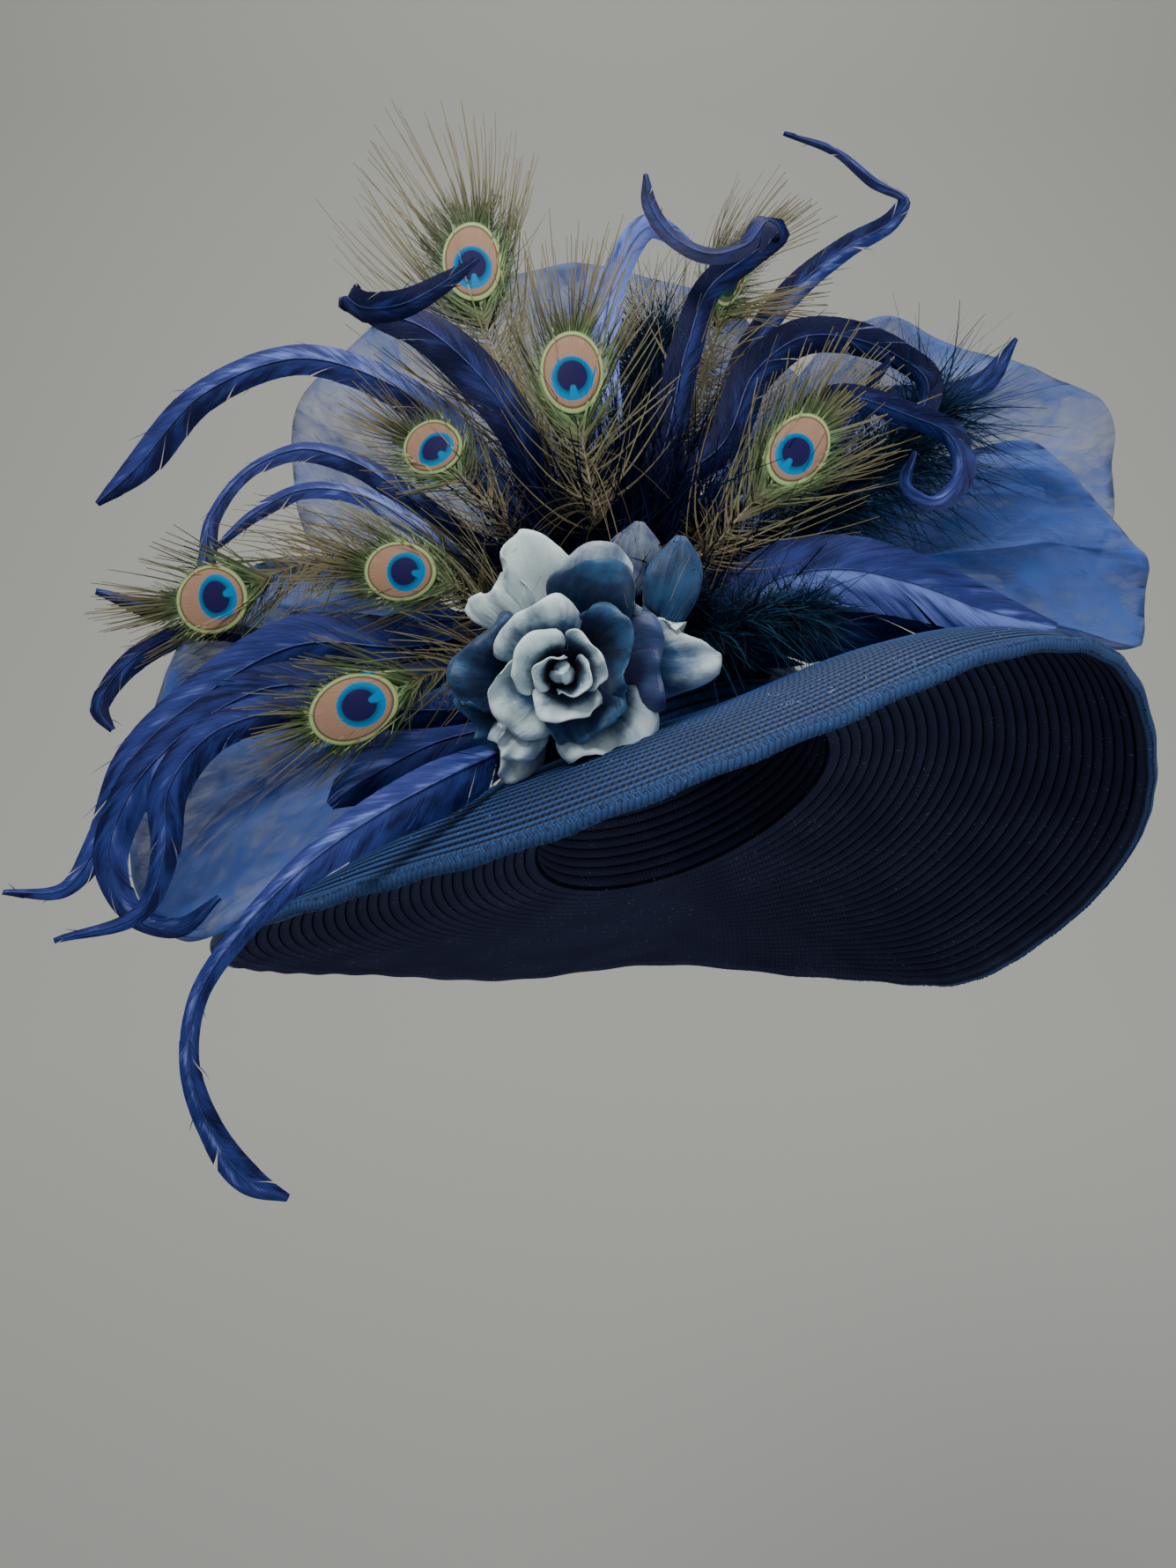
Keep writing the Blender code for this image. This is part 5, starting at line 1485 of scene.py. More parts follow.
def loose_barbs(name, blade, dye, tree, material, settings, rng):
    """Single barbs that stray from a feather's edges."""
    count = settings.loose_barbs
    where = rng.uniform(STEM_RISE, blade.long - LOOSE_REACH, count)
    way = rng.choice((-1.0, 1.0), count)
    _, along, front, side = blade.read(where)
    reach = (LOOSE_REACH + blade.half(where) * rng.uniform(*LOOSE_HALVES, count))[:, None]
    heading = unit(along + side * way[:, None] * rng.uniform(*LOOSE_LEAN, (count, 1))) * reach
    shade = shade_at(dye, where / blade.long) + way * dye[3]
    stray, curl = LOOSE_BEND
    roots = {
        "root": blade.point(where, way * rng.uniform(*LOOSE_FROM, count), LOOSE_LIFT),
        "heading": heading,
        "bend": (front * rng.normal(0, stray, (count, 1)) - side * way[:, None] * curl) * reach,
        "across": unit(np.cross(front, heading)),
        "mark_start": np.stack([way, where, shade], -1),
    }
    return grown(name, tree, roots, strand_values("loose", material), mark="vane")


def stem(build, blade, start, end, radius, slot, lift=0.0, sides=6):
    """A stem of the given radius at its two ends, along part of a blade."""
    where = np.linspace(start, end, max(STEM_STEPS, int((end - start) / STEM_STEP)))
    middle = blade.point(where, np.zeros(len(where)), lift)
    points, faces = tube(middle, np.linspace(*radius, len(where)), sides)
    build.add(points, faces, np.zeros((len(points), 3)), slot)


def dyed_feather(name, table, tree, materials, settings, rng):
    seat_at, dye, rows = table[name]
    blade = Blade(seat_at, rows)
    build = Build()
    for way in (-1, 1):
        vane(build, blade, way, dye, settings, rng, WIDER.get((name, way), 0.0))
    stem(build, blade, 0.0, blade.long - STEM_SHORT, STEM_RADIUS, 1, lift=STEM_LIFT)
    sheet = build.finish(f"{name}_vane", materials, "vane")
    barbs = loose_barbs(f"{name}_barbs", blade, dye, tree, materials[0], settings, rng)
    return joined(f"{name}_dressed", [sheet, barbs])


# Peacock barbs. Places on the stem are in half lengths of the eye, from its middle, unless said otherwise.
EYE_STEM = (0.8, 0.3)
EYE_TOP = 0.45  # how far above the eye's middle the stem ends
EYE_CLOSE_FROM = -1.7  # where the close barbs round the eye start
EYE_BARE_FROM = 26.0  # where the first barbs start, in millimetres from the seat
EYE_PAIRED = 0.25  # how far the second set of close barbs is shifted, as a share of their pitch
EYE_BEND = 0.45  # share of a barb's way that follows its outward bend
EYE_TURN = (0.85, 1.35)  # the barb's lean at its root and at its tip, as shares of its lean
SIDE_LEAN = 42.0
LEAN_SHARE = 0.35  # share of the feather, from its tip, over which the lean grows to that
EYE_CLOSE = 0.1  # how much closer to the stem the barbs round the eye lie
UPRIGHT_FROM = 0.6  # how far below the eye's middle its barbs start to stand up
UPRIGHT = (0.75, 1.5)  # how much of their lean they lose at the top, and how late
CREST_SHARE = 0.3  # share of the feather, from its tip, over which the crest's reach fades
LOW_BARBS_SHORTER = -0.1
CREST_BARBS = 130
CREST_SPREAD = 3.0  # length of stem from which they fan, in millimetres
CREST_LEAN = 0.7
SHORT_REACH = 0.5  # how long the short barbs are, as a share of their reach
SHORT_CREST_REACH = 0.34
SHORT_SWAY = 0.3
LONG_TURN = (1.7, 0.1)
LONG_SHARE = 0.1  # of the barbs round the eye's lower half, the long ones
LONG_STEM_FROM = -1.3  # below this the long ones have the next share
LONG_STEM_SHARE = 0.4
LONG_CREST_SHARE = 0.27
LONG_BELOW = 0.95  # how long the long barbs below the eye are, as a share of the crest's reach
LONG_LEAN = 27.0
LONG_SWAY = (7.0, 8.0)  # how far their lean swings, in degrees, and over what length
LONG_GIRTH = 1.85
LONG_DEPTH = 0.4
LEAN_SPREAD = (2.0, 5.0, 3.0)  # for any barb, and how much more away from the eye and for a long barb
LEAN_MOST = 80.0
BARB_REACH = (0.7, 1.05)
BARB_GIRTH = (0.75, 1.25)
BARB_DEPTH = (-3.0, -1.4)
BARB_DROOP = (0.04, 0.16)  # as shares of its reach, and how much that varies away from the eye

GREEN_EYE = "peacock_feather_slim"
EYE_GREEN = 5.0  # the mark of an eye that is green where the others are bronze
EYE_DISC_LIFT = 2.1
EYE_DISC_RISE = 1.5  # how high the middle of the eye stands, in those lifts
EYE_DISC_RIPPLE = 0.25
EYE_DISC_RINGS = 8
EYE_DISC_SIDES = 48


def eye_disc(build, blade, centre, half_width, half_length, green):
    """The eye itself, close barbs in one smooth shield."""
    sides = EYE_DISC_SIDES
    rings = np.linspace(0.0, 1.0, EYE_DISC_RINGS + 1)[1:]
    ring, turn = np.meshgrid(rings, np.arange(sides) * 2 * math.pi / sides, indexing="ij")
    x = ring * np.cos(turn)
    y = ring * np.sin(turn)
    ripple = EYE_DISC_RIPPLE * np.sin(turn * sides / 2) * ring
    lift = EYE_DISC_LIFT * (EYE_DISC_RISE - ring**2) + ripple
    shield = blade.over(centre + y * half_length, x * half_width, lift).reshape(-1, 3)
    middle = blade.over(np.array([centre]), np.zeros(1), np.full(1, EYE_DISC_LIFT * EYE_DISC_RISE))
    marks = np.stack([x, y, np.full_like(x, green)], -1).reshape(-1, 3)
    faces = grid_faces(EYE_DISC_RINGS, sides, wrap=True).tolist()
    faces += [((k + 1) % sides, k, len(shield)) for k in range(sides)]
    build.add(np.vstack([shield, middle]), faces, np.vstack([marks, [[0.0, 0.0, green]]]), 0)


def eye_feather(name, tree, materials, settings, rng):
    """A peacock feather: its stem, its eye and the barbs grown from the stem."""
    seat_at, eye, rows = PEACOCK_FEATHERS[name]
    half_width, half_length, side_reach, crest_reach, crest_lean, narrow, sideways = eye
    half_width = half_width * narrow
    blade = Blade(seat_at, [(x, y, z, 1.0, twist) for x, y, z, twist in rows])
    centre = blade.long - half_length
    top = centre + half_length * EYE_TOP
    build = Build()
    stem(build, blade, 0.0, top, EYE_STEM, 1)
    eye_disc(build, blade, centre, half_width, half_length, EYE_GREEN if name == GREEN_EYE else 0.0)
    ground = build.finish(f"{name}_ground", materials, "eye")

    # along the stem, where the barbs stand, which way, how they lean and how far they reach
    close_from = centre + EYE_CLOSE_FROM * half_length
    dense = np.arange(close_from, top, settings.eye_pitch / MM)
    sparse = np.arange(EYE_BARE_FROM, close_from, settings.stem_pitch / MM)
    where = np.concatenate([sparse, dense, dense + EYE_PAIRED * settings.eye_pitch / MM])
    where = np.concatenate([where, where])
    way = np.repeat([-1.0, 1.0], len(where) // 2)
    share = np.clip((blade.long - where) / blade.long, 0, 1)
    rise = UPRIGHT_FROM * half_length
    above = np.clip((where - (centre - rise)) / (top - centre + rise), 0, 1)
    grow = np.sin(math.pi / 2 * np.minimum(1, share / LEAN_SHARE))
    lean = crest_lean + (SIDE_LEAN - crest_lean) * grow
    close = EYE_CLOSE * np.exp(-(((where - centre) / half_length) ** 2))
    lean = lean * (1 - UPRIGHT[0] * above ** UPRIGHT[1]) * (1 - close)
    crest = np.clip(1 - share / CREST_SHARE, 0, 1)
    reach = side_reach * (1 - LOW_BARBS_SHORTER * share) * (1 - crest) + crest_reach * crest
    reach = reach - np.clip(where - centre, 0, None)
    # the crest: a fan of barbs from the stem's end
    count = CREST_BARBS
    where = np.concatenate([where, np.full(count, top) - rng.uniform(0, CREST_SPREAD, count)])
    fan = rng.uniform(-1, 1, count)
    way = np.concatenate([way, np.sign(fan)])
    lean = np.concatenate([lean, np.abs(fan) * crest_lean * CREST_LEAN])
    reach = np.concatenate([reach, np.full(count, crest_reach - half_length * EYE_TOP)])
    total = len(where)
    away = np.clip(np.abs(where - centre) / half_length - 1, 0, 1)
    at_top = np.arange(total) >= total - count
    chance = np.where(where < centre, LONG_SHARE, 0.0)
    chance = np.where(where < centre + LONG_STEM_FROM * half_length, LONG_STEM_SHARE, chance)
    long = rng.random(total) < np.where(at_top, LONG_CREST_SHARE, chance)
    short = np.where(at_top, SHORT_CREST_REACH, SHORT_REACH)
    reach = np.where(long & ~at_top, crest_reach * LONG_BELOW, reach * np.where(long, 1.0, short))
    sway = LONG_SWAY[0] * np.sin(where / LONG_SWAY[1] + way)
    lean = np.where(long & ~at_top, LONG_LEAN + sway, lean)
    spread = LEAN_SPREAD[0] + LEAN_SPREAD[1] * away + LEAN_SPREAD[2] * long
    lean = np.radians(np.clip(lean + rng.normal(0, 1, total) * spread, 0, LEAN_MOST))
    reach = reach * rng.uniform(*BARB_REACH, total)

    parts = []
    turns = (np.where(long, a, b) for a, b in zip(LONG_TURN, EYE_TURN))
    for part, turn in zip((1 - EYE_BEND, EYE_BEND), turns):
        parts.append((reach * part * np.sin(lean * turn) * way, reach * part * np.cos(lean * turn)))
    (heading_x, heading_y), (bend_x, bend_y) = parts
    bend_x = bend_x + sideways * reach * np.where(long, 1.0, SHORT_SWAY)
    depth = np.where(long & (away > 0), LONG_DEPTH, rng.uniform(*BARB_DEPTH, total))
    droop = (BARB_DROOP[0] + rng.normal(0.0, BARB_DROOP[1], total) * away) * reach
    start = blade.over(where, np.zeros(total), depth)
    middle = blade.over(where + heading_y / 2 + bend_y / 4, heading_x / 2 + bend_x / 4, depth - droop / 4)
    end = blade.over(where + heading_y + bend_y, heading_x + bend_x, depth - droop)
    bend = 2 * (start + end - 2 * middle)
    heading = end - start - bend
    _, _, front, _ = blade.read(where)
    none = np.zeros(total)
    roots = {
        "root": start,
        "heading": heading,
        "bend": bend,
        "across": unit(np.cross(front, heading)),
        "girth": rng.uniform(*BARB_GIRTH, total) * np.where(long, LONG_GIRTH, 1.0),
        "mark_start": np.stack([none, (where - centre) / half_length, none], -1),
        "mark_way": np.stack([heading_x / half_width, heading_y / half_length, none], -1),
        "mark_bend": np.stack([bend_x / half_width, bend_y / half_length, none], -1),
    }
    values = strand_values("peacock", materials[0], Width=settings.barb_width)
    barbs = grown(f"{name}_barbs", tree, roots, values, mark="eye")
    return joined(f"{name}_dressed", [ground, barbs])


PLUME_STEM = (1.0, 0.4)
PLUME_FROM = 0.15  # where on the stem the fluff starts, if it is evenly spread
PLUME_CROWD = 0.8  # 1 is evenly spread, less is denser towards the tip
PLUME_FLAT = 0.6  # how deep the plume is for its width
PLUME_LEAN_SPREAD = 16.0
PLUME_REACH = (0.45, 1.12)
PLUME_FALL = 0.5
PLUME_BEND = (0.42, 0.6)  # how much a strand bends, as shares of its length: usually, and at most
PLUME_GIRTH = (0.6, 1.5)


def soft_plume(name, tree, materials, settings, rng):
    """Soft fluff on a stem, every strand its own way."""
    seat_at, (lean, reach), rows = PLUMES[name]
    blade = Blade(seat_at, rows)
    build = Build()
    stem(build, blade, 0.0, blade.long, PLUME_STEM, 0)
    spine = build.finish(f"{name}_spine", materials, "strand")
    count = settings.strands
    where = blade.long * rng.uniform(PLUME_FROM, 1.0, count) ** PLUME_CROWD
    _, along, front, side = blade.read(where)
    turn = rng.uniform(0, 2 * math.pi, count)[:, None]
    out = side * np.cos(turn) + front * np.sin(turn) * PLUME_FLAT
    tilt = np.radians(rng.normal(lean, PLUME_LEAN_SPREAD, count))[:, None]
    long = (reach * rng.uniform(*PLUME_REACH, count))[:, None]
    heading = unit(along * np.cos(tilt) + out * np.sin(tilt)) * long
    fall = np.array([0.0, 0.0, -1.0]) * long * rng.uniform(0.0, PLUME_FALL, count)[:, None]
    spread, most = PLUME_BEND
    roots = {
        "root": blade.point(where, np.zeros(count)),
        "heading": heading,
        "bend": fall + np.clip(rng.normal(0, spread, (count, 3)), -most, most) * long,
        "across": unit(np.cross(heading, rng.normal(0, 1, (count, 3)))),
        "girth": rng.uniform(*PLUME_GIRTH, count),
    }
    strands = grown(f"{name}_strands", tree, roots, strand_values("plume", materials[0]))
    return joined(f"{name}_dressed", [spine, strands])


# Hackles all over the base. Across and up run from -1 to 1 over it.
BASE_CELLS = (41, 33)
HACKLES = 5000
HACKLE_SUNK = 0.5
HACKLE_ACROSS = (-0.98, 0.98)
HACKLE_UP = (-0.85, 1.0)
HACKLE_LONG = (20.0, 84.0)
HACKLE_LONGER = 0.4  # how much longer they are at the +across side
HACKLE_SHORT = (0.65, 0.35)  # their length low on the base, and what the top adds to it
HACKLE_LEAN = (0.9, 0.55)  # how far they lean up and outwards
HACKLE_LOW = (-0.3, 0.5)  # from here across they lean up even at the bottom, and by how much
HACKLE_STRAY = (0.45, 0.22)  # in their heading and in their bend
HACKLE_GIRTH = (0.5, 1.4)
# near-black: real fluff, dark enough to stand partly as painted shade between the stems
HACKLE_COLOURS = ((0.002, 0.003, 0.014), (0.008, 0.014, 0.075))


def base_hackles():
    """Dark hackles that cover the base and fill the gaps between the stems, their darkness standing partly
    as painted shade there.
    """
    rng = np.random.default_rng(SEEDS["base"])
    across = rng.uniform(*HACKLE_ACROSS, HACKLES)
    up = rng.uniform(*HACKLE_UP, HACKLES)
    root = pad_point(across, up)
    away = unit(root - pad_point(across, up, face=0.0))
    rise, spread = HACKLE_LEAN
    turn = np.radians(pad_place(across, up)[0])
    outwards = tilted(np.stack([np.cos(turn), np.sin(turn), 0 * turn], -1))
    low_long, more_long = HACKLE_SHORT
    longer = (1 + HACKLE_LONGER * np.clip(across, 0, 1)) * (low_long + more_long * np.clip(up, 0, 1))
    long = rng.uniform(*HACKLE_LONG, (HACKLES, 1)) * longer[:, None]
    low_from, low_lean = HACKLE_LOW
    low = np.where(across < low_from, 0.0, low_lean)
    stray, bend = HACKLE_STRAY
    heading = away + tilted([0, 0, 1]) * rise * (low + up)[:, None] + outwards * spread
    heading = unit(heading + rng.normal(0, stray, (HACKLES, 3))) * long
    roots = {
        "root": root - away * HACKLE_SUNK,
        "heading": heading,
        "bend": rng.normal(0, bend, (HACKLES, 3)) * long,
        "across": unit(np.cross(heading, rng.normal(0, 1, (HACKLES, 3)))),
        "girth": rng.uniform(*HACKLE_GIRTH, HACKLES),
    }
    material = strand_finish("base_hackle", *HACKLE_COLOURS)
    tree = strand_tree("hackle_strands", rod=False)
    return grown("base_hackles", tree, roots, strand_values("hackle", material))


# Dry barbs that stray in front of the rose: the place on the base or on a stem, heading, bend
DRY_BARBS = (
    ((0.30, -0.20), (30, -22, -4), (22, -4, -22)),
    ((0.34, -0.25), (26, -24, 6), (26, 0, -26)),
    ((0.36, -0.30), (20, -18, 14), (30, 4, -16)),
    ((-46, -136, 119), (-14, -52, -2), (-8, 4, -42)),
    ((-48, -137, 132), (-4, -54, 2), (-12, 0, -52)),
    ((-50, -138, 145), (12, -52, -6), (4, 0, -58)),
    ((-47, -136, 125), (-30, -44, 6), (-16, 4, -34)),
    ((2, -124, 106), (-6, -52, 18), (-18, 0, -38)),
    ((14, -123, 118), (8, -50, 8), (-26, -4, -44)),
    ((4, -124, 108), (20, -44, 4), (10, -6, -50)),
    ((-90, -136, 80), (6, -48, 22), (20, 4, -30)),
    ((-90, -136, 80), (-18, -40, 10), (-26, 6, -30)),
    ((-92, -134, 58), (-8, -46, 20), (-34, 8, -10)),
    ((-92, -134, 58), (-22, -40, 4), (-30, 10, -26)),
)
DRY_COPIES = 4
DRY_DRIFT = 7.0  # how far the copies stray at their ends
DRY_BEND_DRIFT = 1.4  # how much more they stray in their bend
DRY_COLOURS = ((0.05, 0.04, 0.02), (0.22, 0.18, 0.10))


def dry_barbs():
    """Long tan barbs that cross in front of the petals."""
    rng = np.random.default_rng(SEEDS["dry"])
    rows = [row for row in DRY_BARBS for _ in range(DRY_COPIES)]
    heading = np.array([heading for _, heading, _ in rows], float)
    bend = np.array([bend for _, _, bend in rows], float)
    roots = {
        "root": np.array([seat(*at, stand=-1.0)[0] if len(at) == 2 else at for at, _, _ in rows]),
        "heading": heading + rng.normal(0, DRY_DRIFT, heading.shape),
        "bend": bend + rng.normal(0, DRY_DRIFT * DRY_BEND_DRIFT, bend.shape),
        "across": unit(np.cross(FRONT, heading)),
        "girth": rng.uniform(0.6, 1.3, len(rows)),
    }
    material = strand_finish("dry_barb", *DRY_COLOURS)
    return grown("dry_barbs", strand_tree("dry_strands", rod=False), roots, strand_values("dry", material))


# Net

NET_CELLS = (150, 40)
NET_SWING = 1.5  # how far the folds swing, as a share of the solid model's
NET_OVERLAP = 0.9  # how far they lean over one another
NET_RIM_STILL = 0.75  # how much calmer the folds are at the rim
NET_LAYERS_APART = 0.5  # how far the folds of the two layers are apart, in radians
NET_WANDER = (0.9, 5)  # how far the folds wander along the rim, in radians, and how often
NET_FULL = 1.3  # 1 is a puff that is deepest halfway, more is one deepest nearer the rim
NET_CALM = 0.6  # how much shallower the small creases are at the rim
NET_CREASE_DEEP = 1.6  # how much deeper they are towards the front than along the cloth
NET_SCALLOP = (1.7, 2.5)  # number and depth of the rim's own waves
NET_BACK_SHORT = 0.1
NET_SLACK = 1.6  # width of the flat cloth, as a share of the rim's length
# How much denser the net is at its folded rim, in the gather and along a crease
NET_FOLD_DENSE = 0.22
NET_FOLD_WIDE = 0.7
NET_ROOT_DENSE = 0.34
NET_CREASE_DENSE = 0.3
CRUMPLES = 11
CRUMPLE_TURNS = (1.2, 4.5)  # how many creases cross the net
CRUMPLE_BOW = ((0.25, 3), (0.2, 4))  # how far a crease bows and how often, along and across the net
CRUMPLE_NARROW = 1.6
FACET_DEPTH = (0.5, 1.0)
CREASE_WIDE = 0.007
CREASE_SHARP = (0.3, 1.0)


def crumple(across, along, rng):
    """Flat facets between creases that run every way, from about -1 to 1, and how near a crease is."""
    total = 0.0
    creases = 0.0
    for _ in range(CRUMPLES):
        way = rng.uniform(0, math.pi)
        turns = rng.uniform(*CRUMPLE_TURNS)
        bows = [
            far * np.sin(often * place + rng.uniform(0, 6))
            for place, (far, often) in zip((along, across), CRUMPLE_BOW)
        ]
        phase = across * math.cos(way) * CRUMPLE_NARROW + along * math.sin(way)
        phase = phase * turns + (bows[0] + bows[1]) + rng.uniform(0, 1)
        ridge = np.abs(phase % 1.0 - 0.5)
        total = total + (4 * ridge - 1) * rng.uniform(*FACET_DEPTH) / math.sqrt(turns)
        sharp = np.exp(-((ridge / CREASE_WIDE / turns) ** 2))
        creases = np.maximum(creases, sharp * rng.uniform(*CREASE_SHARP))
    return total / math.sqrt(CRUMPLES), creases


def net_puff(name, material, settings, rng):
    """A gathered fan of doubled net, its fold at the rim, in loose folds and sharp small creases."""
    seat_at, (gather, dense, count, deep, belly), rim = NETS[name]
    cells, steps = NET_CELLS
    edge = through(rim, cells + 1)
    root, away = seat(*seat_at, stand=1.0)
    across = edge[-1] - edge[0]
    across = unit(across - away * (across @ away))
    share = np.linspace(0, 1, cells + 1)[:, None, None]
    start = root + across * gather * (2 * share[:, :, 0] - 1)
    along_rim = unit(np.gradient(edge, axis=0))[:, None]
    outwards = unit(edge - root)[:, None]
    far = np.linalg.norm(edge - root, axis=1)[:, None, None]
    phase = rng.uniform(0, 2 * math.pi, 4)
    wander, waves = NET_WANDER
    scallops, scallop = NET_SCALLOP
    bend = (start + edge) / 2 + away * NET_RISE + FRONT * belly
    layers = []
    creased = []
    for layer in (1, -1):
        step = np.linspace(0, 1, steps + 1)[None, :, None]
        if layer < 0:
            step = step[:, :-1][:, ::-1]
        here = start[:, None] * (1 - step) ** 2 + bend[:, None] * 2 * step * (1 - step)
        here = here + edge[:, None] * step**2
        swing = step**NET_FOLD_POWER * deep * NET_SWING * (1 - NET_RIM_STILL * step**3)
        turn = 2 * math.pi * count * share + NET_LAYERS_APART * layer
        turn = turn + wander * np.sin(waves * share + phase[0])
        here = here + FRONT * np.sin(turn) * swing + along_rim * np.cos(turn) * swing * NET_OVERLAP
        here = here + FRONT * layer * settings.depth / MM * np.sin(math.pi * step**NET_FULL) / 2
        held = settings.crease / MM * step**0.5
        calm = held * (1 - NET_CALM * step**4)
        deep_way, rim_way, out_way = (crumple(share, step, rng) for _ in range(3))
        here = here + FRONT * deep_way[0] * held * NET_CREASE_DEEP
        here = here + along_rim * rim_way[0] * calm + outwards * out_way[0] * calm
        creased.append(np.maximum(deep_way[1], rim_way[1])[:, :, 0])
        if layer < 0:
            here = here - outwards * NET_BACK_SHORT * far * (4 * step * (1 - step))
        wave = np.sin(2 * math.pi * scallops * share + phase[3])
        layers.append(here + outwards * wave * scallop * step**4)
    grid = np.concatenate(layers, axis=1)
    rows = grid.shape[1]
    long = np.linalg.norm(np.diff(grid, axis=1), axis=2)
    run = np.concatenate([np.zeros((cells + 1, 1)), np.cumsum(long, axis=1)], axis=1)
    wide = np.linalg.norm(np.diff(edge, axis=0), axis=1).sum() * NET_SLACK
    number = np.arange(rows)
    fold = np.exp(-(((number - steps) / NET_FOLD_WIDE) ** 2))[None, :]
    near = (1 - np.minimum(number, rows - 1 - number) / steps)[None, :]
    layer = dense + NET_FOLD_DENSE * fold + NET_ROOT_DENSE * near**1.5
    layer = layer + NET_CREASE_DENSE * np.concatenate(creased, axis=1)
    marks = np.stack([np.broadcast_to(share[:, :, 0] * wide, run.shape), run, layer], -1)
    faces = grid_faces(cells + 1, rows).tolist()
    piece = new_piece(f"{name}_cloth", grid.reshape(-1, 3), faces, [material], {"cloth": marks})
    area = sum(face.area for face in piece.data.polygons)
    return piece, (wide * MM, area / (wide * MM))


# Rose

PETAL_CELLS = (24, 18)
CURL_FROM = 0.55
PETAL_ROUNDER = 0.2  # how much narrower a petal is at its rim
CALYX_SIDES = 24
# The bud: pairs of a height and a radius, its folds, how deep they are and how they wind as it rises
BUD_RINGS = ((-3.0, 0.6), (2.0, 3.8), (9.0, 5.4), (17.0, 5.4), (25.0, 4.6), (31.0, 2.8), (35.0, 0.3))
BUD_SIDES = 60
BUD_FOLDS = 3
BUD_FOLD = 0.42
BUD_WIND = 0.025
BUD_SHADE = 0.7
CALYX_SHADE = 0.1
PAIRED_PHASE = 0.5
# How a petal waves across its width: how strongly, how often and how far its own number shifts the wave
CURL_WAVE = (0.45, 2.6)
RIM_WAVE = 5.0
RIM_WAVE_SMALL = (0.6, 2.1, 1.7)
SCALLOP_WAVE = (0.035, 3.3, 2.1)
DENT_WAVE = (0.8, 3.7)
PUCKER_WAVE = (0.5, 8.1, 5)
# How far the shade runs from foot_shade to rim_shade: painted highlight on the rims and sides, painted shade
# at the feet, over the silk's dye
SIDE_PAINTED_LIGHT = 0.75
RIM_DYE_AND_LIGHT = (1.8, 0.8)


def rolled(radius, high, roll):
    """A petal's profiles with their direction turned outwards by roll, in radians, along them."""
    step = np.stack([np.diff(radius, axis=1), np.diff(high, axis=1)], -1)
    long = np.linalg.norm(step, axis=-1)
    heading = np.arctan2(step[..., 1], step[..., 0]) - (roll[:, 1:] + roll[:, :-1]) / 2
    out = np.cumsum(long * np.cos(heading), axis=1)
    up = np.cumsum(long * np.sin(heading), axis=1)
    return (
        np.concatenate([radius[:, :1], radius[:, :1] + out], axis=1),
        np.concatenate([high[:, :1], high[:, :1] + up], axis=1),
    )


def petal(name, material, settings, phase):
    """One petal as thin silk, rounded, its rim rolled back and ruffled."""
    turn, spread, base, belly, belly_high, rim, rim_high, *look = (ROSE_PETALS | ROSE_PAIRED)[name]
    foot_shade, rim_shade, plum, curl, ruffle = look
    side, out = np.meshgrid(
        np.linspace(-1, 1, PETAL_CELLS[0] + 1), np.linspace(0, 1, PETAL_CELLS[1] + 1), indexing="ij"
    )
    way = out * (1 - PETAL_ROUND * np.abs(side) ** 3)
    radius = (1 - way) ** 2 * base + 2 * way * (1 - way) * belly + way**2 * rim
    foot = ROSE_BASE - ROSE_CONE * base
    high = (1 - way) ** 2 * foot + 2 * way * (1 - way) * belly_high + way**2 * rim_high
    lip = np.clip((out - CURL_FROM) / (1 - CURL_FROM), 0, 1)
    strength, often = CURL_WAVE
    roll = curl * lip**1.4 * (1 + strength * np.sin(side * often + phase))
    radius, high = rolled(radius, high, roll)
    radius = radius + side * (PETAL_WRAP[0] + PETAL_WRAP[1] * way)
    full = 1 - PETAL_NARROW * (1 - np.sin(way * PETAL_WIDEST))
    full = full * (1 - PETAL_ROUNDER * lip**4)
    strength, often, shift = RIM_WAVE_SMALL
    wave = strength * np.sin(side * RIM_WAVE * often - phase * shift)
    high = high + ruffle * (np.sin(side * RIM_WAVE + phase) + wave) * out**3
    strength, often, shift = SCALLOP_WAVE
    radius = radius * (1 + strength * ruffle * np.sin(side * often + shift * phase) * out**2)
    grid = rose_point(radius, turn + side * spread * full, high)
    normal = faced(grid)
    strength, often = DENT_WAVE
    dent = strength * ruffle * np.cos(side * often + phase) * out**2
    strength, often, along = PUCKER_WAVE
    dent = dent + strength * np.sin(side * often + along * out + phase) * out
    grid = grid + normal * dent[..., None]
    # painted light: lighter towards the rim and the sides, darker at the foot
    strength, dark = RIM_DYE_AND_LIGHT
    rim_dye_and_light = np.clip(np.maximum(out, np.abs(side) ** 4 * SIDE_PAINTED_LIGHT) * strength - dark, 0, 1)
    shade = foot_shade + (rim_shade - foot_shade) * rim_dye_and_light
    return silk_piece(name, grid, normal, (side, out, shade, plum), material, settings)


def faced(grid):
    """The direction out of a grid of points, at each of them."""
    return unit(np.cross(np.gradient(grid, axis=0), np.gradient(grid, axis=1)))


def silk_piece(name, grid, normal, look, material, settings):
    """A petal or leaf. look: at each point the way across and the way out, its shade, and its plum."""
    side, out, shade, plum = look
    marks = np.stack([side, out, shade], -1).reshape(-1, 3)
    tinge = np.stack([side, plum * np.ones_like(side), out], -1).reshape(-1, 3)
    return silk_sheet(f"{name}_silk", grid, normal, settings.thickness / MM, material, marks, tinge)


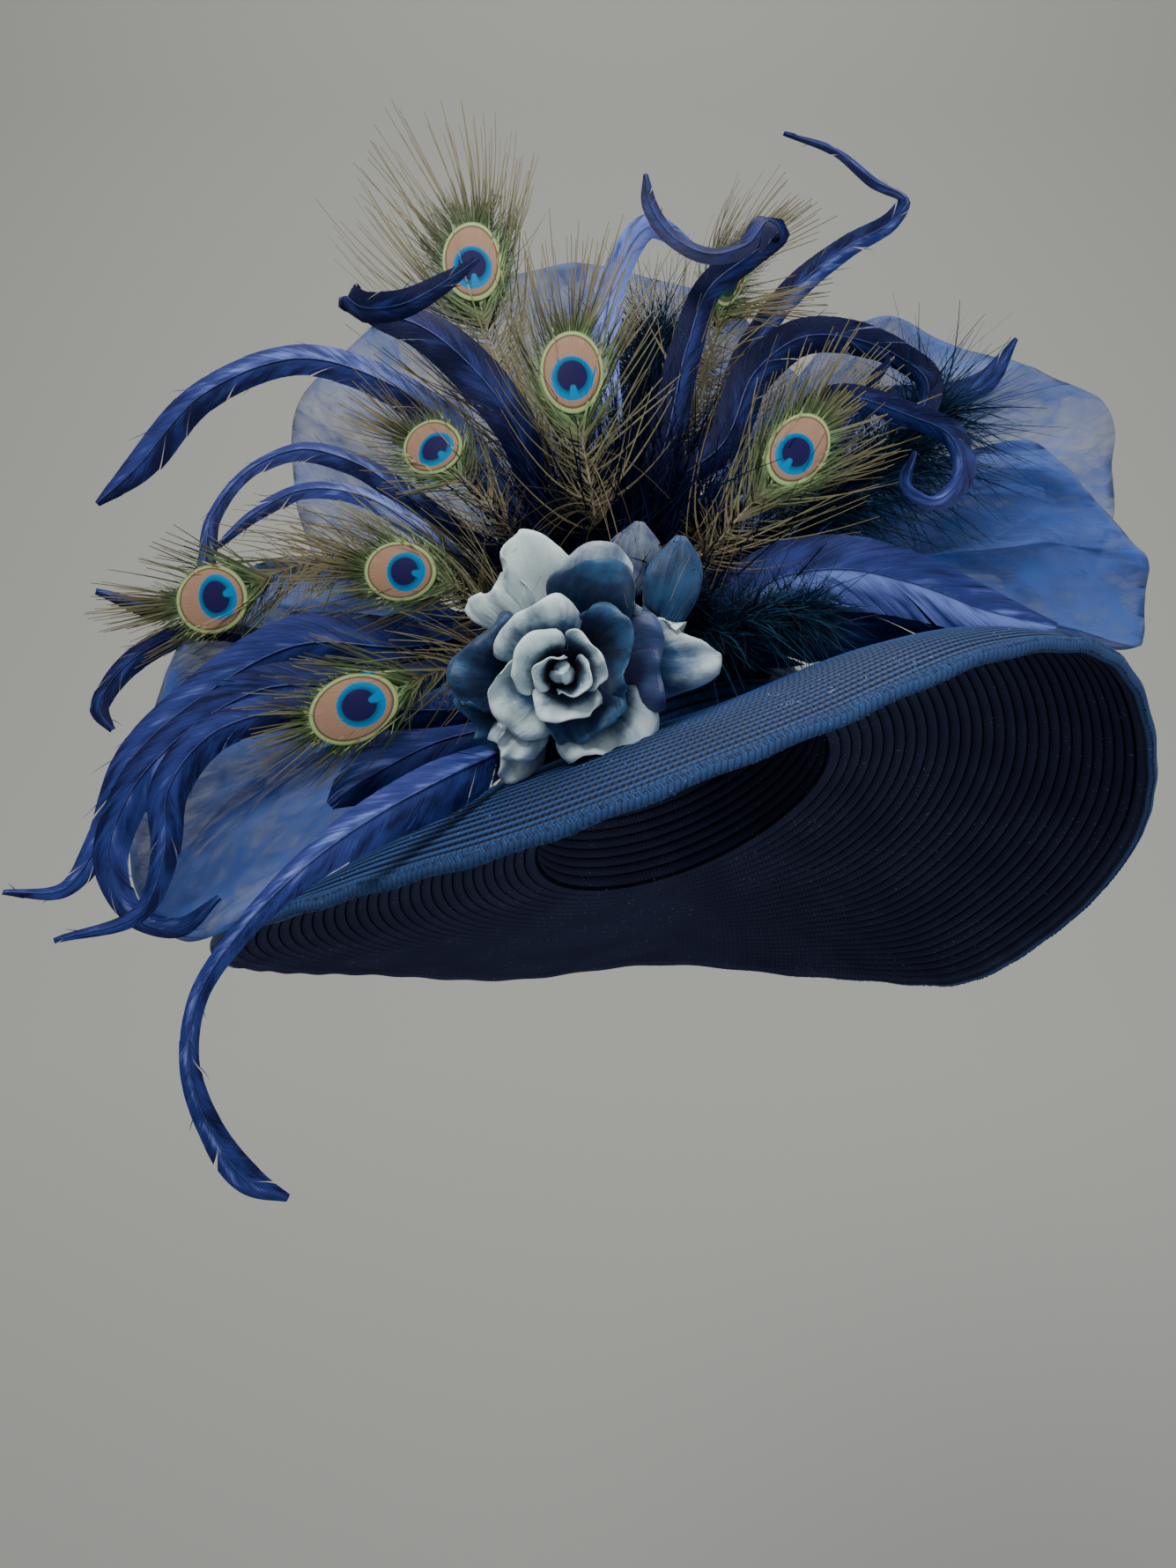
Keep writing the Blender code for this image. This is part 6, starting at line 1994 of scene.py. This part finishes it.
def silk_sheet(name, grid, normal, thick, material, marks, tinge):
    """A thin closed sheet about a grid of points."""
    rows, columns = grid.shape[:2]
    near = (grid + normal * thick / 2).reshape(-1, 3)
    far = (grid - normal * thick / 2).reshape(-1, 3)
    top = grid_faces(rows, columns)
    faces = top.tolist() + (top[:, ::-1] + len(near)).tolist()
    rim = list(range(columns))
    rim += [i * columns + columns - 1 for i in range(1, rows)]
    rim += [(rows - 1) * columns + j for j in range(columns - 2, -1, -1)]
    rim += [i * columns for i in range(rows - 2, 0, -1)]
    faces += [(b, a, len(near) + a, len(near) + b) for a, b in zip(rim, rim[1:] + rim[:1])]
    piece = new_piece(
        name, np.vstack([near, far]), faces, [material],
        {"petal": np.vstack([marks, marks]), "tinge": np.vstack([tinge, tinge])},
    )
    outward(piece)
    return piece


def turned_shape(name, loops, material, shade):
    """A closed round body through loops of points, its ends fanned."""
    loops = np.asarray(loops)
    rows, size = loops.shape[:2]
    points = np.vstack([loops.reshape(-1, 3), loops[0].mean(0)[None], loops[-1].mean(0)[None]])
    faces = grid_faces(rows, size, wrap=True).tolist()
    first = rows * size
    last = (rows - 1) * size
    faces += [(first, (k + 1) % size, k) for k in range(size)]
    faces += [(first + 1, last + k, last + (k + 1) % size) for k in range(size)]
    marks = np.tile([0.0, 0.5, shade], (len(points), 1))
    piece = new_piece(name, points, faces, [material], {"petal": marks, "tinge": np.zeros_like(marks)})
    outward(piece)
    return piece


def calyx_loops():
    """The stem from the base to the rose, and its cup."""
    start, _ = seat(*CALYX_SEAT)
    end = rose_ring(0.0, CALYX_CUP[0][0] - CALYX_NECK)[0]
    loops = []
    for share, radius in CALYX_STEM:
        loops.append(rose_ring(radius, 0.0) - np.array(ROSE_AT) + start + (end - start) * share)
    return loops + [rose_ring(radius, high) for high, radius in CALYX_CUP]


def rose_ring(radius, high):
    """A ring of points about the rose's own line."""
    turns = np.arange(CALYX_SIDES) * 360.0 / CALYX_SIDES
    return rose_point(np.full(CALYX_SIDES, radius), turns, np.full(CALYX_SIDES, high))


def smooth_rings(rings, count=28):
    """(high, radius) pairs read through a smooth curve."""
    at = np.linspace(0, 1, len(rings))
    where = np.linspace(0, 1, count)
    return [np.interp(where, at, column) for column in np.array(rings, float).T]


def bud_loops():
    """The bud, wound in a few folds."""
    turns = np.arange(BUD_SIDES) * 360.0 / BUD_SIDES
    loops = []
    for high, radius in zip(*smooth_rings(BUD_RINGS)):
        wound = (turns / 360.0 * BUD_FOLDS + high * BUD_WIND) % 1.0
        loops.append(rose_point(radius * (1 - BUD_FOLD * wound), turns, np.full(BUD_SIDES, high)))
    return loops


LEAF_CELLS = (30, 13)
LEAF_LIGHTER = 0.15  # how much lighter it is at its tip
LEAF_RIPPLE = 0.5
LEAF_RIPPLES = 0.35
LEAF_RIB = 0.8  # how deep its middle rib is pressed in
LEAF_RIB_WIDE = 0.12


def silk_leaf(name, material, settings):
    """A leaf of silk behind the rose."""
    seat_at, (shade, plum), rows = ROSE_LEAVES[name]
    blade = Blade(seat_at, rows)
    rows_along, rows_across = LEAF_CELLS
    along = np.linspace(0.0, blade.long, rows_along)
    where, share = np.meshgrid(along, np.linspace(-1, 1, rows_across), indexing="ij")
    ripple = LEAF_RIPPLE * np.sin(where * LEAF_RIPPLES) * share**2
    ripple = ripple - LEAF_RIB * np.exp(-((share / LEAF_RIB_WIDE) ** 2))
    grid = blade.point(where, share, ripple)
    out = where / blade.long
    look = (share, out, shade + LEAF_LIGHTER * out, plum)
    return silk_piece(name, grid, faced(grid), look, material, settings)


# Stage

CAMERA_AT = (-0.049, -0.745, -0.033)
CAMERA_TILT = math.radians(93.5)
CAMERA_LENS = 32.76
CAMERA_SENSOR = 36.0
CAMERA_NEAR = 0.01
SWEEP_NEAR = -2.4
SWEEP_BACK = 1.3
SWEEP_RADIUS = 0.7
SWEEP_HIGH = 2.2
SWEEP_HALF = 3.0

LIGHTS_AIM = (-0.02, -0.05, 0.08)
# name, place in metres, size, share of the main light's power, colour
LIGHTS = (
    ("key", (-0.7, -1.5, 1.7), 1.0, 1.0, (1.0, 0.98, 0.95)),
    ("fill", (1.4, -1.3, 0.9), 1.4, 0.08, (0.95, 0.97, 1.0)),
    ("low", (1.3, -1.1, -0.5), 0.9, 0.24, (0.96, 0.98, 1.0)),
    ("top", (0.1, 0.1, 2.2), 1.2, 0.6, (1.0, 1.0, 1.0)),
)


def make_sweep(material, drop):
    """The floor, curved up into a wall behind."""
    arc = np.linspace(0, math.pi / 2, 13)
    back = SWEEP_BACK - SWEEP_RADIUS + SWEEP_RADIUS * np.sin(arc)
    high = -drop + SWEEP_RADIUS * (1 - np.cos(arc))
    side = [(SWEEP_NEAR, -drop), *zip(back, high), (SWEEP_BACK, SWEEP_HIGH)]
    points = np.array([[(x, y, z) for x in (-SWEEP_HALF, SWEEP_HALF)] for y, z in side]) / MM
    faces = grid_faces(len(side), 2)
    return new_piece("studio_sweep", points.reshape(-1, 3), faces.tolist(), [material])


def make_light(name, at, size, power, colour):
    light = bpy.data.lights.new(name, "AREA")
    light.shape = "DISK"
    light.size = size
    light.energy = power
    light.color = colour
    lamp = placed(name, light)
    lamp.location = at
    lamp.rotation_euler = (Vector(LIGHTS_AIM) - Vector(at)).to_track_quat("-Z", "Y").to_euler()


def make_camera():
    camera = bpy.data.cameras.new("camera")
    camera.lens = CAMERA_LENS
    camera.sensor_width = CAMERA_SENSOR
    camera.dof.use_dof = False
    camera.clip_start = CAMERA_NEAR
    holder = placed("camera", camera)
    holder.location = CAMERA_AT
    holder.rotation_euler = (CAMERA_TILT, 0.0, 0.0)
    bpy.context.scene.camera = holder


# Operators


class HAT_OT_make_braid(bpy.types.Operator):
    """Sews the crown and brim from rows of straw braid"""

    bl_idname = "hat.make_braid"
    bl_label = "Make the straw braid"

    def execute(self, context):
        settings = context.scene.hat_straw
        look = (UNDER_RELIEF, 0.0, UNDER_GROOVE, UNDER_ROUGH)
        top = straw_finish("straw_top", settings.colour, TOP_RELIEF)
        # the straw below the brim and inside the crown: the same plait, darkened as painted shade
        under = straw_finish("straw_under_shaded", settings.under_shaded_colour, *look)
        pitch = settings.row_pitch / MM
        width = BRIM_WIDE - EDGE_WIDE
        rows = round(width / pitch)
        _, way_up = crown_outs(CROWN_TOP)
        crown_rows = round(way_up / pitch)

        def brim_out(place):
            return max(ROW_NEAR, min(place / rows, BRIM_PAST) * width)

        def crown_out(place, count=crown_rows):
            share = np.clip(place / count, CROWN_FOOT, 1) * CROWN_TOP
            return min(-ROW_NEAR, float(crown_outs(share)[0]))

        def inside_out(place):
            return crown_out(place, INSIDE_ROWS)

        pieces = [
            braid("brim_braid", top, rows, BRIM_AROUND, ROW_TOP, brim_out, settings),
            braid("brim_braid_under", under, rows, BRIM_AROUND, ROW_UNDER, brim_out, settings,
                  lift=-STRAW_THICK, inside=True),
            braid("crown_braid", top, crown_rows, CROWN_AROUND, ROW_TOP, crown_out, settings, cap=True),
            braid("crown_braid_inside", under, INSIDE_ROWS, INSIDE_AROUND, ROW_INSIDE, inside_out, settings,
                  lift=-STRAW_THICK, inside=True, cap=True),
        ]
        for piece in pieces:
            belongs(piece, "straw_braid", "hat_body")
        return {"FINISHED"}


class HAT_OT_make_edge(bpy.types.Operator):
    """Makes the wired row round the brim's edge"""

    bl_idname = "hat.make_edge"
    bl_label = "Make the edge row"

    def execute(self, context):
        settings = context.scene.hat_straw
        straw = straw_finish("edge_straw", settings.edge_colour, EDGE_RELIEF, EDGE_GLOSS, NO_GROOVE)
        tick = straw_strand_finish("edge_strand", settings.edge_colour)
        # painted shade and painted light: the underside's darkened colour, made a little paler for the edge
        # row
        pale = shaded(settings.under_shaded_colour, EDGE_UNDER_PAINTED_LIGHT)
        under = straw_finish("edge_under_shaded", pale, UNDER_RELIEF, 0.0, NO_GROOVE, UNDER_ROUGH)
        belongs(edge_row([straw, under], settings), "edge_straw", "edge_braid")
        belongs(edge_ticks(strand_tree("straw_ticks", rod=True), tick, settings), "edge_straw", "edge_braid")
        return {"FINISHED"}


class HAT_OT_make_base(bpy.types.Operator):
    """Covers the base that carries the trimming"""

    bl_idname = "hat.make_base"
    bl_label = "Make the trimming's base"

    def execute(self, context):
        felt = felt_finish(context.scene.hat_straw.felt_colour)
        across, up = np.meshgrid(*(np.linspace(-1, 1, count) for count in BASE_CELLS), indexing="ij")
        face = pad_point(across, up)
        back = pad_point(across, up, face=0.0)
        normal = unit(face - back)
        none = np.zeros((across.size, 3))
        thick = np.linalg.norm(face - back, axis=2)[..., None]
        piece = silk_sheet("base_felt", (face + back) / 2, normal, thick, felt, none, none)
        belongs(piece, "pad_felt", "trim_pad")
        belongs(base_hackles(), "pad_felt", "trim_pad")
        return {"FINISHED"}


class HAT_OT_make_peacock(bpy.types.Operator):
    """Grows the peacock feathers"""

    bl_idname = "hat.make_peacock"
    bl_label = "Make the peacock feathers"

    def execute(self, context):
        settings = context.scene.hat_peacock
        tree = strand_tree("peacock_barbs", rod=False)
        materials = [peacock_finish(settings), stem_finish("peacock_stem", *PEACOCK_STEM)]
        rng = np.random.default_rng(SEEDS["peacock"])
        for name in PEACOCK_FEATHERS:
            belongs(eye_feather(name, tree, materials, settings, rng), "peacock_barbs", name)
        belongs(dry_barbs(), "peacock_barbs", "peacock_feather_middle")
        return {"FINISHED"}


def make_dyed(context, table, slot, seed):
    settings = context.scene.hat_feathers
    tree = strand_tree(f"{slot}_barbs", rod=False)
    materials = [dyed_vane(settings), stem_finish(f"{slot}_stem", *DYED_STEM)]
    rng = np.random.default_rng(seed)
    for name in table:
        belongs(dyed_feather(name, table, tree, materials, settings, rng), slot, name)


class HAT_OT_make_cock(bpy.types.Operator):
    """Grows the curled cock feathers"""

    bl_idname = "hat.make_cock"
    bl_label = "Make the cock feathers"

    def execute(self, context):
        make_dyed(context, COCK_FEATHERS, "cock_feather_blue", SEEDS["cock"])
        return {"FINISHED"}


class HAT_OT_make_goose(bpy.types.Operator):
    """Grows the broad goose feathers"""

    bl_idname = "hat.make_goose"
    bl_label = "Make the goose feathers"

    def execute(self, context):
        make_dyed(context, GOOSE_FEATHERS, "goose_feather_blue", SEEDS["goose"])
        return {"FINISHED"}


class HAT_OT_make_plumes(bpy.types.Operator):
    """Grows the soft dark plumes"""

    bl_idname = "hat.make_plumes"
    bl_label = "Make the plumes"

    def execute(self, context):
        settings = context.scene.hat_plumes
        tree = strand_tree("plume_strands", rod=False)
        materials = [strand_finish("plume_fluff", settings.dark, settings.teal)]
        rng = np.random.default_rng(SEEDS["plumes"])
        for name in PLUMES:
            belongs(soft_plume(name, tree, materials, settings, rng), "plume_navy", name)
        return {"FINISHED"}


class HAT_OT_make_net(bpy.types.Operator):
    """Gathers the net"""

    bl_idname = "hat.make_net"
    bl_label = "Make the net"

    def execute(self, context):
        settings = context.scene.hat_net
        material = net_finish(settings)
        rng = np.random.default_rng(SEEDS["net"])
        for name in NETS:
            piece, flat = net_puff(name, material, settings, rng)
            belongs(piece, "net_blue", name)
        return {"FINISHED"}


class HAT_OT_make_rose(bpy.types.Operator):
    """Builds the silk rose petal by petal"""

    bl_idname = "hat.make_rose"
    bl_label = "Make the rose"

    def execute(self, context):
        settings = context.scene.hat_rose
        silk = silk_finish("petal_silk", settings)
        for number, name in enumerate(ROSE_PETALS):
            belongs(petal(name, silk, settings, number), "petal_silk", name)
        for name in ROSE_PAIRED:
            belongs(petal(name, silk, settings, PAIRED_PHASE), "petal_silk", "rose_outer_petal_top")
        bud = turned_shape("rose_bud_silk", bud_loops(), silk, BUD_SHADE)
        belongs(bud, "petal_silk", "rose_bud")
        calyx = turned_shape("rose_calyx_silk", calyx_loops(), silk, CALYX_SHADE)
        belongs(calyx, "leaf_silk", "rose_calyx")
        for name in ROSE_LEAVES:
            belongs(silk_leaf(name, silk, settings), "leaf_silk", name)
        return {"FINISHED"}


class HAT_OT_make_stage(bpy.types.Operator):
    """Sets the camera, the lights and the floor"""

    bl_idname = "hat.make_stage"
    bl_label = "Set the stage"

    def execute(self, context):
        settings = context.scene.hat_stage
        sweep = make_sweep(studio_finish(settings.wall), settings.floor_drop / MM)
        make_camera()
        for name, at, size, share, colour in LIGHTS:
            power = settings.key_power * share
            make_light(name, at, size, power, colour)
        world = bpy.data.worlds.new("studio")
        world.use_nodes = True
        world.node_tree.nodes["Background"].inputs["Color"].default_value = (*settings.sky, 1.0)
        world.node_tree.nodes["Background"].inputs["Strength"].default_value = settings.sky_strength
        context.scene.world = world
        return {"FINISHED"}


class HAT_PT_panel(bpy.types.Panel):
    """The hat's settings and its operators"""

    bl_label = "Church Hat"
    bl_idname = "HAT_PT_panel"
    bl_space_type = "VIEW_3D"
    bl_region_type = "UI"
    bl_category = "Hat"

    def draw(self, context):
        for title, group, makers in SECTIONS:
            box = self.layout.box()
            box.label(text=title)
            settings = getattr(context.scene, group)
            for key in settings.__class__.__annotations__:
                box.prop(settings, key)
            for maker in makers:
                box.operator(maker.bl_idname)


# title, settings, operators
SECTIONS = (
    ("Straw", "hat_straw", (HAT_OT_make_braid, HAT_OT_make_edge, HAT_OT_make_base)),
    ("Peacock feathers", "hat_peacock", (HAT_OT_make_peacock,)),
    ("Dyed feathers", "hat_feathers", (HAT_OT_make_cock, HAT_OT_make_goose)),
    ("Plumes", "hat_plumes", (HAT_OT_make_plumes,)),
    ("Net", "hat_net", (HAT_OT_make_net,)),
    ("Rose", "hat_rose", (HAT_OT_make_rose,)),
    ("Stage", "hat_stage", (HAT_OT_make_stage,)),
)

SETTINGS = {
    "hat_straw": StrawSettings,
    "hat_peacock": PeacockSettings,
    "hat_feathers": FeatherSettings,
    "hat_plumes": PlumeSettings,
    "hat_net": NetSettings,
    "hat_rose": RoseSettings,
    "hat_stage": StageSettings,
}


def register():
    for name, group in SETTINGS.items():
        bpy.utils.register_class(group)
        setattr(bpy.types.Scene, name, bpy.props.PointerProperty(type=group))
    for _, _, makers in SECTIONS:
        for maker in makers:
            bpy.utils.register_class(maker)
    bpy.utils.register_class(HAT_PT_panel)


def unregister():
    bpy.utils.unregister_class(HAT_PT_panel)
    for _, _, makers in reversed(SECTIONS):
        for maker in reversed(makers):
            bpy.utils.unregister_class(maker)
    for name, group in reversed(SETTINGS.items()):
        delattr(bpy.types.Scene, name)
        bpy.utils.unregister_class(group)


def main():
    register()
    bpy.ops.hat.make_braid()
    bpy.ops.hat.make_edge()
    bpy.ops.hat.make_base()
    bpy.ops.hat.make_peacock()
    bpy.ops.hat.make_cock()
    bpy.ops.hat.make_goose()
    bpy.ops.hat.make_plumes()
    bpy.ops.hat.make_net()
    bpy.ops.hat.make_rose()
    bpy.ops.hat.make_stage()


if __name__ == "__main__":
    main()
